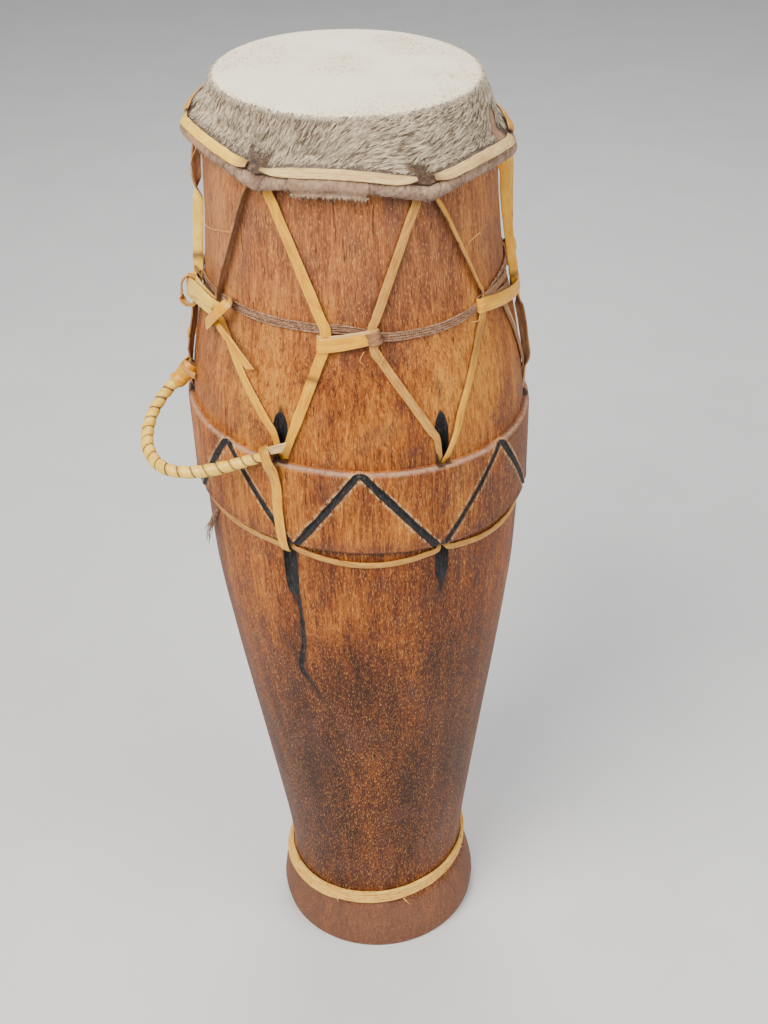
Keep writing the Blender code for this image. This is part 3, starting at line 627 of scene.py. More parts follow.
def rattanStrip(name, route, width, thick, finish="golden", back=None, step=0.0016, turns=None,
                widths=None, faces=None, upright=False, crown=0.14, across=6, ragged=0.05,
                marks=(), seed=0, ridges=0.0, slant=0.0):
    # A strip of split rattan along a route. Its face looks off the wall unless faces says
    # where; turns, in degrees, roll it; turns and widths are (share, value) tables.
    draw = np.random.default_rng(seed + 100)
    line = smoothRoute(route, step)
    count = len(line)
    length = lengthAlong(line)
    share = length / length[-1]
    along = unit(np.gradient(line, axis=0))
    if faces is None:
        face = offWall(line)
    elif callable(faces):
        face = faces(line)
    else:
        face = unit(np.stack([np.interp(share, np.linspace(0, 1, len(faces)), np.array(faces)[:, a])
                              for a in range(3)], -1))
    if upright:
        # its width stays up the wall, and it faces out where it runs towards +angle
        side = unit(np.array((0, 0, 1)) - offWall(line) * offWall(line)[:, 2:3])
        side = unit(side - along * (side * along).sum(1, keepdims=True))
    else:
        side = unit(np.cross(face, along))
    face = np.cross(along, side)
    if turns is not None:
        turn = -np.radians(np.interp(share, *zip(*turns)))[:, None]
        side, face = (side * np.cos(turn) + face * np.sin(turn),
                      face * np.cos(turn) - side * np.sin(turn))
    half = width / 2 * (np.interp(share, *zip(*widths)) if widths else np.ones(count))
    stations = np.arange(0, length[-1] + 0.02, ragStep)
    drawn = int(length[-1] / ragStep) + 5
    ragEdges = [1 + ragged * np.interp(length, stations, draw.uniform(-1, 1, drawn)[:len(stations)])
                for _ in range(2)]
    mesh = stripGrid(name, count - 1, across, (length[-1], width), (seed * 0.37, 0))
    grid = points(mesh)
    k = np.clip(np.round((grid[:, 0] + 0.5) * (count - 1)).astype(int), 0, count - 1)
    y = grid[:, 1] * 2
    edge = np.where(y > 0, ragEdges[0][k], ragEdges[1][k])
    rise = crown * width / 2 * (1 - y**2)
    if ridges:
        lines = draw.uniform(-1, 1, 2 * across + 3)
        rise = rise + ridges * lines[np.round((y + 1) * across).astype(int)] * (abs(y) < 0.95)
    cut = slant * y * half[k] * capped((share[k] - 0.8) / 0.2)
    setPoints(mesh, line[k] + side[k] * (y * half[k] * edge)[:, None] + face[k] * rise[:, None]
              + along[k] * cut[:, None])
    mark = np.zeros(len(grid))
    for at, reach, depth in marks:
        mark += depth * np.exp(-((length[k] - at + 0.0006 * y) / reach)**2)
    setValues(mesh, "mark", capped(mark))
    mesh.materials.append(finishes[finish])
    mesh.materials.append(finishes[back or ("brown" if finish in ("golden", "yellow") else finish)])
    thing = walled(mesh, thick, 0, backed=True)
    ease = thing.modifiers.new("eased", "BEVEL")
    ease.width, ease.segments, ease.limit_method = thick * 0.28, 2, "ANGLE"
    ease.angle_limit, ease.profile, ease.use_clamp_overlap = math.radians(50), 0.5, True
    return applied(thing)


def makeHairs(name, roots, ways, normals, lengths, halfWidths, lifts, seed, curl, shades=None):
    # Tapered hairs: one three-sided spike, repeated by an array and then laid one by one
    draw = np.random.default_rng(seed)
    bm = bmesh.new()
    bmesh.ops.create_cone(bm, cap_ends=True, cap_tris=False, segments=3, radius1=1, radius2=0,
                          depth=1, matrix=Matrix.Translation((0, 0, 0.5)))
    bmesh.ops.remove_doubles(bm, verts=bm.verts, dist=0.0001)
    upEdges = [e for e in bm.edges if abs(e.verts[0].co.z - e.verts[1].co.z) > 0.5]
    bmesh.ops.subdivide_edges(bm, edges=upEdges, cuts=1)
    spike = looseObject(meshFrom(bm, name))
    shape = points(spike.data)
    many = spike.modifiers.new("many", "ARRAY")
    many.count, many.use_relative_offset, many.use_constant_offset = len(roots), False, True
    many.constant_offset_displace = (3, 0, 0)
    mesh = applied(spike)
    per = len(shape)
    along = shape[:, 2]
    ways = unit(ways - normals * (ways * normals).sum(1, keepdims=True))
    sides = np.cross(normals, ways)
    swing = draw.normal(0, 1, len(roots)) * curl
    lift = lifts[:, None] * (along[None] - 0.45 * along[None]**2)
    taper = np.hypot(shape[:, 0], shape[:, 1])
    turnAt = np.arctan2(shape[:, 1], shape[:, 0])
    laid = (roots[:, None, :]
            + ways[:, None, :] * (lengths[:, None] * along[None])[..., None]
            + normals[:, None, :] * (lift + halfWidths[:, None] * 0.7
                                     * (taper * np.sin(turnAt))[None])[..., None]
            + sides[:, None, :] * (swing[:, None] * lengths[:, None] * along[None]**2
                                   + halfWidths[:, None] * (taper
                                                            * np.cos(turnAt))[None])[..., None])
    setPoints(mesh, laid.reshape(-1, 3))
    shades = draw.uniform(0, 1, len(roots)) if shades is None else shades
    setValues(mesh, "shade", np.repeat(shades, per))
    setValues(mesh, "along", np.tile(along, len(roots)))
    return mesh


shell = {
    "sides": 540,
    # rows down the outside: from, to and how far apart
    "rows": ((0.6945, 0.5360, 0.0085), (0.5340, 0.4890, 0.0033)),
    "ledge": ((0.1107, 0.48575), (0.1120, 0.48535), (0.1133, 0.4850), (0.1142, 0.4844),
              (0.1148, 0.4835), (0.1151, 0.4822)),
    "face": (0.4808, 0.4276, 0.0015),
    "under": ((0.1149, 0.4264), (0.1144, 0.4253), (0.1134, 0.4243), (0.1118, 0.4238),
              (0.1098, 0.4235)),
    "lower": ((0.4215, 0.3700, 0.0036), (0.3660, 0.2800, 0.0068), (0.2690, 0.0680, 0.0125)),
    "waist": (0.0610, 0.0560, 0.0525, 0.0490, 0.0462, 0.0440, 0.0405),
    "foot": (0.0340, 0.0270, 0.0200, 0.0130, 0.0070, 0.0030, 0.0010),
    "apexes": (-48, -1, 51, 103.2, 155.4, 207.6, 259.8),
    "feet": (-24, 25, 75, 129, 181.5, 233.7, 289),
    "grooveWidths": {(-48, -71): 0.95, (-48, -24): 0.85, (-1, -24): 1.05, (-1, 25): 1.12,
                     (51, 25): 0.72, (51, 75): 1.0},
    "groove": 0.0026, "overrun": 0.0016,
    "tunnelMiddle": 0.1062, "tunnelBend": 0.77, "tunnelReach": 0.088, "tunnelThick": 0.0042,
    "tunnelWiden": 1.20,
    # some tunnels come out sooner above and below
    "sooner": {-27: (0.8, 0.0), 27: (0.0, 1.7)},
    # the burnt streak under the left tunnel: angle, height, half width
    "streak": ((-25.8, 0.394, 1.3), (-25.2, 0.376, 1.0), (-24.8, 0.358, 0.85), (-25.1, 0.346, 1.05),
               (-25.6, 0.335, 0.9), (-27.2, 0.321, 1.15), (-28.2, 0.310, 1.2), (-25.8, 0.302, 1.0),
               (-23.6, 0.295, 0.7), (-21.8, 0.286, 0.35)),
    # cracks: angle and height, thin
    "cracks": (((48.7, 0.0455), (53.4, 0.026), (57.8, 0.0030)), ((-27.1, 0.5690), (-26.9, 0.5570)),
               ((36.1, 0.5622), (35.1, 0.5530)), ((143, 0.16), (143.6, 0.09), (143.2, 0.045))),
    # the stain's depth, and patches of it: angle, height, reach round and up, strength; most are
    # the wood's own mottling, and one is painted shade on the lower left, where the key lamp lights
    # the wall more
    "toneAndShade": 0.715,
    "patches": ((0, 0.63, 34, 0.045, 0.05), (-10, 0.665, 40, 0.02, 0.05),
                (40, 0.60, 16, 0.02, 0.06),
                (-34, 0.615, 7, 0.03, 0.09), (-62, 0.64, 16, 0.05, -0.10),
                (56, 0.64, 12, 0.04, -0.07),
                # (-45, 0.22, ...) is painted shade: it darkens the lower left, which the key lamp
                # lights more
                (8, 0.29, 26, 0.055, 0.15), (0, 0.14, 60, 0.075, 0.15), (-45, 0.22, 26, 0.12, 0.14),
                (4, 0.40, 30, 0.02, 0.07), (38, 0.665, 13, 0.02, 0.12), (-27, 0.66, 10, 0.03, 0.10),
                (5, 0.585, 7, 0.012, 0.12), (35, 0.20, 30, 0.09, 0.06),
                (55, 0.45, 22, 0.035, 0.10), (-8, 0.42, 10, 0.02, 0.05),
                (-48, 0.56, 26, 0.045, -0.20),
                (-40, 0.39, 22, 0.05, -0.13), (0, 0.515, 30, 0.02, -0.15),
                (55, 0.53, 20, 0.03, -0.24),
                (6, 0.44, 18, 0.02, -0.10), (-12, 0.37, 14, 0.03, -0.12),
                (60, 0.37, 14, 0.05, -0.10),
                (-62, 0.27, 14, 0.08, -0.10), (22, 0.258, 7, 0.022, -0.13),
                (-52, 0.45, 14, 0.02, -0.04),
                (180, 0.55, 50, 0.08, -0.05), (170, 0.25, 70, 0.1, 0.06),
                (120, 0.62, 40, 0.05, 0.08),
                (240, 0.60, 40, 0.05, 0.06), (215, 0.35, 30, 0.06, -0.07)),
}


def wallRows(ranges):
    rows = []
    for top, bottom, step in ranges:
        count = round((top - bottom) / step)
        rows += [top + (bottom - top) * k / count for k in range(count + 1)]
    return [(float(np.interp(z, *wallCurve)), z) for z in rows]


def tunnelMiddle(angle, height):
    off = height - collarMiddle(angle)
    return place(angle, shell["tunnelMiddle"] + shell["tunnelBend"] * off**2, height)


def grooveRoute(apex, foot, steps=24):
    share = np.linspace(0, 1, steps + 1)
    top, bottom = drum["collarTop"] + shell["overrun"], drum["collarBottom"] - shell["overrun"]
    route = place(apex + (foot - apex) * share, drum["collarRadius"] + 0.0004,
                  top + (bottom - top) * share)
    route[:, 2] += drum["collarLean"] * route[:, 0]
    return route


def distanceTo(route, at):
    # Shortest distance from each point to a route's straight pieces
    best = np.full(len(at), 9.0)
    for a, b in zip(route, route[1:]):
        t = capped(((at - a) @ (b - a)) / ((b - a) @ (b - a)))
        best = np.minimum(best, np.linalg.norm(at - a - t[:, None] * (b - a), axis=1))
    return best


def carved(thing, meshes):
    # The object cut by all of these closed meshes at once; cut faces keep the cutter's finish
    tools = bpy.data.collections.new("tools")
    bpy.context.scene.collection.children.link(tools)
    for mesh in meshes:
        tools.objects.link(bpy.data.objects.new(mesh.name, mesh))
    cut = thing.modifiers.new("carved", "BOOLEAN")
    cut.operation, cut.solver, cut.material_mode = "DIFFERENCE", "EXACT", "TRANSFER"
    cut.operand_type, cut.collection = "COLLECTION", tools
    mesh = applied(thing)
    for tool in list(tools.objects):
        bpy.data.objects.remove(tool, do_unlink=True)
    bpy.data.collections.remove(tools)
    return mesh


def makeShell():
    outer = wallRows(shell["rows"]) + list(shell["ledge"])
    top, bottom, step = shell["face"]
    count = round((top - bottom) / step)
    outer += [(drum["collarRadius"] - 0.0004 * (k / count)**2, top + (bottom - top) * k / count)
              for k in range(count + 1)]
    outer += list(shell["under"]) + wallRows(shell["lower"])
    outer += [(float(np.interp(z, *wallCurve)), z) for z in shell["waist"] + shell["foot"]]
    rim = [(0.0768, 0.6975), (0.0785, 0.6970), (0.0795, 0.6960)]
    base = [(0.0774, 0.0), (0.0700, 0.0), (0.0628, 0.0)]
    heights = [0.0015, 0.02, 0.0525, 0.08, 0.11, 0.14, 0.19, 0.24, 0.29, 0.335, 0.38, 0.42, 0.46,
               0.50, 0.545, 0.59, 0.63, 0.67, 0.694]
    inner = [(float(np.interp(z, *zip(*drum["hollow"]))), z) for z in heights]
    mesh = turnedMesh("drumShell", rim + outer + base + inner + [(0.0702, 0.6972)], shell["sides"],
                      closed=True)
    mesh.materials.append(finishes["wood"])
    mesh.materials.append(finishes["hollow"])
    at = points(mesh)
    angle, radius, z = angleOf(at), spreadOf(at), at[:, 2].copy()
    outside = radius > np.interp(z, *wallCurve) - 0.006
    # the carver's blade left the outside and the hollow a little uneven
    uneven = np.where(outside, 0.00022, 0.0007) * ripple(angle, z, 7, 3)
    uneven += np.where(outside, 0.00016, 0.0004) * ripple(angle * 6, z * 3, 6, 4)
    uneven *= capped(z / 0.006) * capped((0.6975 - z) / 0.004)
    ledge = np.exp(-((z - 0.4845) / 0.0018)**2) * (radius > 0.112)
    uneven += ledge * 0.00045 * ripple(angle * 9, z * 0, 8, 5)
    lower = np.exp(-((z - 0.4252) / 0.0016)**2) * (radius > 0.112)
    uneven += lower * 0.0005 * ripple(angle * 11, z * 0, 8, 6)
    at += outward(at) * uneven[:, None]
    at[:, 2] += leanAt(z) * at[:, 0] + ledge * 0.0004 * ripple(angle * 7, z * 0, 8, 7)
    setPoints(mesh, at)
    centres = np.empty(len(mesh.polygons) * 3, np.float32)
    mesh.polygons.foreach_get("center", centres)
    centres = centres.reshape(-1, 3)
    isHollow = spreadOf(centres) < np.interp(centres[:, 2], *wallCurve) - 0.0045
    mesh.polygons.foreach_set("material_index",
                              (isHollow & (centres[:, 2] < 0.6966)).astype(np.int32))

    thing = looseObject(mesh)
    cutters = []
    draw = np.random.default_rng(21)
    grooves = []
    for apex in shell["apexes"]:
        feet = [near(f, apex) for f in shell["feet"]]
        for foot in (max(f for f in feet if f < apex), min(f for f in feet if f > apex)):
            route = grooveRoute(apex, foot)
            grooves.append(route)
            width = shell["grooveWidths"].get((apex, round(foot)), 0.95)
            shares = (width * (1 + 0.10 * np.interp(np.arange(25), np.arange(0, 25, 3),
                                                    draw.uniform(-1, 1, 9))
                              + 0.09 * draw.normal(0, 1, 25)))
            wobble = np.interp(np.arange(25), np.arange(0, 25, 4), draw.normal(0, 0.00025, 7))
            cutters.append(tubes("groove", [route + np.c_[wobble, wobble * 0, wobble * 0.6]],
                                 shell["groove"],
                                 1, [shares]))
    for turn, angle in enumerate(drum["tunnels"]):
        middle = collarMiddle(angle)
        heights = middle + np.linspace(-1, 1, 33) * shell["tunnelReach"]
        route = tunnelMiddle(angle, heights)
        route += sideways(angle) * (0.0003 * ripple(angle, heights * 6, 5, turn))[:, None]
        sooner = shell["sooner"].get(angle, (0, 0))
        rise = heights - middle
        route += outward(route) * (sooner[0] * capped(rise - 0.03)**2
                                   + sooner[1] * capped(-rise - 0.03)**2)[:, None]
        shares = 1 + 0.05 * ripple(angle, heights * 8, 5, 30 + turn)
        ends = np.where((rise < 0) & (angle == -27), 0.0870, 0.0700)
        shares = shares * np.clip(3.6 * (1 - abs(rise) / ends) + 0.30, 0.20, 1)
        cutter = tubes("tunnel", [route], shell["tunnelThick"], 5, [shares])
        across = sideways(angle)
        at = points(cutter)
        setPoints(cutter, at + (at @ across)[:, None] * across * (shell["tunnelWiden"] - 1))
        cutters.append(cutter)
    streak = smoothRoute([[*onWall(a, z, 0.0011)] for a, z, _ in shell["streak"]], 0.0020)
    wide = np.interp(np.linspace(0, 1, len(streak)), np.linspace(0, 1, len(shell["streak"])),
                     [w for *_, w in shell["streak"]])
    jag = 0.45 * ripple(0, streak[:, 2] * 14, 6, 9) + 0.20 * ripple(0, streak[:, 2] * 40, 6, 10)
    cutters.append(tubes("streak", [streak], 0.0020, 1, [wide * np.clip(1 + jag, 0.25, 2)]))
    for route in shell["cracks"]:
        line = smoothRoute([[*onWall(a, z, 0.0)] for a, z in route], 0.002)
        size = np.sin(np.linspace(0.12, math.pi - 0.12, len(line)))
        stray = 0.0002 * ripple(0, line[:, 2] * 40, 4, 2)
        line = line + sideways(angleOf(line)) * stray[:, None]
        cutters.append(tubes("crack", [line], 0.00038, 0, [size]))
    for cutter in cutters:
        cutter.materials.append(finishes["charred"])
    mesh = carved(thing, cutters)

    at = points(mesh)
    angle, radius, z = angleOf(at), spreadOf(at), at[:, 2]
    leant = drum["collarLean"] * at[:, 0]
    # darker below the collar and towards the bottom
    toneAndShade = shell["toneAndShade"] + 0.09 * capped((0.432 - z) / 0.012)
    toneAndShade += 0.07 * capped((0.36 - z) / 0.12)
    # a painted shadow: a dark line on the wall just under the collar's bottom edge
    toneAndShade += 0.55 * np.exp(-((z - 0.4234 - leant) / 0.0020)**2) * (radius < 0.1135)
    toneAndShade += 0.10 * np.exp(-((z - 0.4280 - leant) / 0.0035)**2) * (radius > 0.112)
    haze = 0.04 + 0.30 * capped((z - 0.545) / 0.06)
    setValues(mesh, "haze", haze + 0.30 * np.exp(-((near(angle, -62) + 62) / 16)**2) * (z > 0.5))
    for a, height, reach, rise, strength in shell["patches"]:
        toneAndShade += (strength * np.exp(-(near(angle, a) - a)**2 / (2 * reach**2)
                                   - (z - height)**2 / (2 * rise**2)))
    setValues(mesh, "toneAndShade", toneAndShade)
    dust = 0.72 * capped((0.0475 - z + 0.004 * ripple(angle * 3, z, 6, 12)) / 0.006)
    dust += 0.25 * np.exp(-((z - 0.4275 - leant) / 0.006)**2)
    setValues(mesh, "dust", dust * (radius > 0.064))
    ledgeTop = capped(1.25 - abs(z - 0.4848 - leant) / 0.0015)
    setValues(mesh, "worn", ledgeTop * capped((radius - 0.1118) / 0.0012)
              + 0.5 * capped(1 - z / 0.002))
    gap = np.full(len(at), 9.0)
    close = (z > 0.40) & (z < 0.51) & (radius > 0.11)
    for route in grooves:
        gap[close] = np.minimum(gap[close], distanceTo(route[::4], at[close]))
    soot = 0.75 * np.exp(-capped(gap - 0.0021) / 0.0005)
    chips = capped(1 - abs(gap - 0.0031) / 0.0013)
    for a in drum["tunnels"]:
        aside = abs(near(angle, a) - a) * np.pi / 180 * radius
        middle = collarMiddle(a)
        reach = 1 - abs(z - middle) / np.where(z > middle, 0.0685, 0.0860 if a == -27 else 0.0760)
        width = np.where((abs(z - middle) > 0.030) & (reach > 0), 0.0048 * capped(reach * 2.6), -1)
        soot = np.maximum(soot, np.exp(-capped(aside - width) / 0.0008) * (width > 0) * 0.85)
    scorched = distanceTo(streak[::3], at)
    soot = np.maximum(soot, 0.8 * np.exp(-capped(scorched - 0.0017) / 0.0008))
    setValues(mesh, "soot", soot)
    setValues(mesh, "chips", chips)
    addPiece("drumShell", mesh, (), ("drum_body",), 32)
    print("shell carved:", len(mesh.polygons), "faces")


makeShell()


hideSettings = {
    "profile": ((0.0, 0.7008), (0.0300, 0.7008), (0.0600, 0.7008), (0.0780, 0.7006),
                (0.0800, 0.7002),
                (0.0813, 0.6992), (0.0822, 0.6975), (0.0829, 0.6950), (0.0842, 0.6895),
                (0.0858, 0.6835), (0.0874, 0.6793), (0.0900, 0.6757), (0.0938, 0.6722),
                (0.0978, 0.6688)),
    "followFrom": 0.6975, "followAll": 0.6770, "offWall": 0.0022, "thick": 0.0016,
    "sides": 400,
    # torn slots: angle, half length, half height, height above the hoop's middle
    "slots": ((-33, 0.0078, 0.0036, 0.0105), (26, 0.0074, 0.0033, 0.0103),
              (84, 0.0065, 0.0030, 0.0105),
              (147, 0.0075, 0.0030, 0.0105), (208, 0.0075, 0.0030, 0.0105),
              (269, 0.0075, 0.0030, 0.0105)),
    "slotRadius": 0.0940,
    "smallHoles": ((57, 0.0026, 0.0015, 0.0165),),
}


def follow(at):
    # Leans the rim with the head, and the flare with the hoop
    angle, radius, z = angleOf(at), spreadOf(at), at[:, 2]
    share = capped((hideSettings["followFrom"] - z)
                    / (hideSettings["followFrom"] - hideSettings["followAll"]))
    share = share * share * (3 - 2 * share)
    z = (z + drum["headLean"] * at[:, 0] * (1 - share)
         + (hoopHeight(angle) - drum["hoopHeight"]) * share)
    pushed = radius + drum["hoopOut"] * hoopWave(angle) * share
    pushed = np.where(share > 0, np.maximum(pushed, wallRadius(angle, z) + hideSettings["offWall"]),
                      radius)
    return place(angle, pushed, z)


hideLine = smoothRoute([(r, 0, z) for r, z in hideSettings["profile"]], 0.0008)[:, [0, 2]]
hideLength = lengthAlong(hideLine)
rimLength = float(np.interp(0.0808, hideLine[:, 0], hideLength))


def onHide(angle, length, up=0.0):
    radius = np.interp(length, hideLength, hideLine[:, 0])
    at = follow(place(angle, radius, np.interp(length, hideLength, hideLine[:, 1])))
    return at if not np.any(up) else at + hideNormal(angle, length) * np.asarray(up)[..., None]


def hideFrame(angle, length):
    # On the hide: the way down the flank, the way to +angle, and the way out
    down = unit(onHide(angle, length + 0.0006) - onHide(angle, length - 0.0006))
    across = unit(onHide(angle + 0.4, length) - onHide(angle - 0.4, length))
    return down, across, unit(np.cross(down, across))


def hideNormal(angle, length):
    return hideFrame(angle, length)[2]


def makeHide():
    profile = hideSettings["profile"]
    flat, side = (smoothRoute([(r, 0, z) for r, z in stops], step)[:, [0, 2]].tolist()
                  for stops, step in ((profile[:4], 0.0045), (profile[3:], 0.0011)))
    mesh = turnedMesh("drumHide", flat + side[1:], hideSettings["sides"])
    at = points(mesh)
    angle, radius = angleOf(at), spreadOf(at)
    z = at[:, 2].copy()
    moved = follow(at)
    moved[radius < 0.001] = (0, 0, 0.7008)
    flank = capped((0.6975 - z) / 0.012)
    # the dried hide cockles a little on its way down to the hoop
    pucker = 0.0005 * ripple(angle * 5, z * 0, 9, 41) + 0.00035 * ripple(angle * 13, z * 2, 9, 42)
    moved += outward(at + 1e-9) * (pucker * flank * capped((z - 0.6688) / 0.004))[:, None]
    moved[:, 2] += 0.00025 * ripple(angle, radius * 4, 5, 43) * (radius / 0.08)**2 * (z > 0.699)
    setPoints(mesh, moved)
    mesh.materials.append(finishes["hide"])
    thing = walled(mesh, hideSettings["thick"], -1, even=True)
    tools = []
    for number, (a, along, up, above) in enumerate(hideSettings["slots"]
            + hideSettings["smallHoles"]):
        bm = bmesh.new()
        bmesh.ops.create_icosphere(bm, subdivisions=3, radius=1)
        tool = meshFrom(bm, f"slot{number}")
        ball = points(tool)
        middle = place(a, hideSettings["slotRadius"], hoopHeight(a) + above)
        if number >= len(hideSettings["slots"]):
            middle = onHide(np.array([a]), np.array([hideLength[-1] - above]))[0]
        out, across = outward(middle), sideways(a)
        torn = (1 + 0.16 * ripple(np.degrees(np.arctan2(ball[:, 2], ball[:, 0])) * 2, ball[:, 1], 6,
                                  number))
        setPoints(tool, middle + across * (ball[:, :1] * along * torn[:, None])
                  + out * ball[:, 1:2] * 0.0068 + np.c_[0 * ball[:, :2], ball[:, 2] * up * torn])
        tool.materials.append(finishes["hide"])
        tools.append(tool)
    mesh = carved(thing, tools)
    at = points(mesh)
    angle, radius = angleOf(at), spreadOf(at)
    level = at[:, 2] - drum["headLean"] * at[:, 0]
    ragged = 0.0007 * ripple(angle * 9, level * 0, 9, 44)
    setValues(mesh, "flank", capped((0.6992 + ragged - level) / 0.0016))
    side = near(angle, 74)
    setValues(mesh, "tan", np.exp(-((side - 76) / 5.5)**2) * capped((0.6880 - level) / 0.008))
    # round each torn slot: bare, dried hide, and painted shade that darkens the slot's edges like a
    # shaded hole
    bareAndShaded = np.zeros(len(at))
    for a, along, up, above in hideSettings["slots"]:
        aside = (near(angle, a) - a) * np.pi / 180 * radius
        over = at[:, 2] - hoopHeight(angle) - above
        bareAndShaded = np.maximum(bareAndShaded, np.exp(-(aside / (along * 1.1))**4 - (over / (up + 0.0035))**4))
    setValues(mesh, "bareAndShaded", bareAndShaded)
    addPiece("drumHide", mesh, (), ("drumhead",), 50)
    print("hide stretched:", len(mesh.polygons), "faces")


makeHide()


fur = {
    "clumps": 13500, "perClump": 5, "pieces": 4,
    # hair direction: angle round the drum, degrees from straight down towards -angle
    "lay": ((-180, 60), (-130, 20), (-90, 8), (-60, 4), (-32, 10), (-16, 34), (0, 52), (14, 66),
            (30, 80), (50, 84), (66, 70), (80, 40), (100, 20), (140, 40), (180, 60)),
    "long": (0.0055, 0.0095), "halfWide": (0.00013, 0.00028), "lift": 0.0019,
    # the hairs stop this far from the hide's edge, and further off at the torn slots
    "clear": 0.0052, "clearSlot": 0.0140,
    # short hairs along the shaved edge, and the share of them that are long wisps
    "rimHairs": 5200, "wisps": 0.012,
}


def makeFur():
    draw = np.random.default_rng(51)
    total = hideLength[-1]
    angle = draw.uniform(-180, 180, fur["clumps"])
    length = rimLength + (total - 0.0012 - rimLength) * draw.uniform(0, 1, fur["clumps"])
    # none where the strips lie, in the torn slots or on the smooth patch
    fromEdge = total - length
    keep = np.ones(len(angle), bool)
    clear = np.full(len(angle), fur["clear"])
    for a, along, *_ in hideSettings["slots"]:
        aside = (near(angle, a) - a) * np.pi / 180 * 0.094
        inSlot = abs(aside) < along + 0.0004
        clear = np.where(inSlot, fur["clearSlot"], clear)
        keep &= ~(inSlot & (fromEdge < 0.0125))
    keep &= ~(abs(angle - 76) < 5.5 * capped((length - rimLength - 0.008) / 0.010))
    # a rubbed patch left of the middle
    keep &= ~((abs(angle + 13) < 10) & (length < rimLength + 0.010)
              & (draw.uniform(0, 1, len(angle)) < 0.7))
    keep &= fromEdge > 0.0050
    angle, length, fromEdge, clear = angle[keep], length[keep], fromEdge[keep], clear[keep]
    lay = np.interp(angle, *zip(*fur["lay"]))
    lay += 16 * ripple(angle * 3, length * 6, 7, 52) + draw.normal(0, 7, len(angle))
    down, across, out = hideFrame(angle, length)
    turn = np.radians(lay)[:, None]
    way = down * np.cos(turn) - across * np.sin(turn)
    size = draw.uniform(*fur["long"], len(angle))
    size *= np.clip(0.25 + (length - rimLength) / 0.009, 0.25, 1)
    room = np.clip((fromEdge - clear) / np.maximum(np.cos(turn[:, 0]), 0.30), 0.0018, 1)
    size = np.minimum(size, room)
    lift = fur["lift"] * draw.uniform(0.5, 1.3, len(angle)) * np.clip(fromEdge / 0.010, 0.25, 1)
    lift *= np.clip(0.35 + (length - rimLength) / 0.012, 0.35, 1)
    root = onHide(angle, length)
    tip = root + way * size[:, None]
    # how dark each tuft is: partly the coat's own dark hairs, partly painted shade for the gaps
    # between tufts
    shade = 0.50 + 0.26 * ripple(angle * 4, length * 9, 8, 53) + draw.normal(0, 0.30, len(angle))
    per = fur["perClump"]
    spread = draw.normal(0, 1, (len(angle), per, 2)) * (0.00075, 0.00042)
    side = np.cross(out, way)
    roots = (root[:, None] + way[:, None] * spread[..., :1]
             + side[:, None] * spread[..., 1:]).reshape(-1, 3)
    tips = (tip[:, None] + (way[:, None] * spread[..., :1] + side[:, None] * spread[..., 1:]
                            * draw.uniform(0.05, 0.35, (len(angle), per, 1)))).reshape(-1, 3)
    ways = tips - roots
    lengths = np.linalg.norm(ways, axis=1)
    normals = np.repeat(out, per, 0)
    lifts = np.repeat(lift, per) * draw.uniform(0.6, 1.25, len(roots))
    shades = capped(np.repeat(shade, per) + draw.normal(0, 0.28, len(roots)))
    wide = draw.uniform(*fur["halfWide"], len(roots))
    order = np.argsort(np.repeat(angle, per), kind="stable")
    for number, part in enumerate(np.array_split(order, fur["pieces"]), 1):
        mesh = makeHairs(f"fur{number}", roots[part], ways[part], normals[part], lengths[part],
                         wide[part], lifts[part], 54 + number, 0.05, shades[part])
        addPiece(f"fur{number}", mesh, ("fur",), sharp=0)
    # short white hairs where the shaved head meets the coat, and a few wisps
    count = fur["rimHairs"]
    angle = draw.uniform(-180, 180, count)
    length = rimLength + draw.normal(0.0008, 0.0011, count)
    down, across, out = hideFrame(angle, length)
    turn = np.radians(np.interp(angle, *zip(*fur["lay"])) * 0.7
                      + draw.normal(0, 22, count))[:, None]
    wisps = draw.uniform(0, 1, count) < fur["wisps"]
    mesh = makeHairs("rimHair", onHide(angle, length), down * np.cos(turn) - across * np.sin(turn),
                     out,
                     np.where(wisps, draw.uniform(0.003, 0.006, count),
                              draw.uniform(0.0012, 0.0034, count)),
                     draw.uniform(0.00009, 0.00017, count),
                     np.where(wisps, 0.0036, draw.uniform(0.0002, 0.0007, count)), 61, 0.2)
    addPiece("rimHair", mesh, ("whiteHair",), sharp=0)
    print("fur laid:", len(roots), "hairs")


makeFur()


hoop = {
    "turns": 900, "thick": 0.0043, "lump": 0.042,
    # cross seams: angle and slant; more are drawn round the back
    "seams": ((-54, 2), (-49.5, -3), (-45.8, 4), (-43.5, -2), (-40.6, 3), (-36.5, -4), (-30.5, 3),
              (-22, 5), (5.0, 9), (8.5, 11), (12.2, 12), (15.5, 8), (19.8, 10), (23.6, -5), (29, 4),
              (34.5, -5), (40.0, 4), (47, 7), (52.5, -6), (59, 3), (66, -4), (72, 4), (78, -5)),
    # the hide's cut edge hangs over the front of the hoop: angles, how far it hangs
    "flap": (-20.5, 5.5, 0.0030), "flapThick": 0.0008,
    # hairs of the frayed edge, and how many of them hang under the flap
    "frayHairs": (1500, 1000),
}


def hoopMiddle(angle):
    return place(angle, drum["hoopRadius"] + drum["hoopOut"] * hoopWave(angle), hoopHeight(angle))


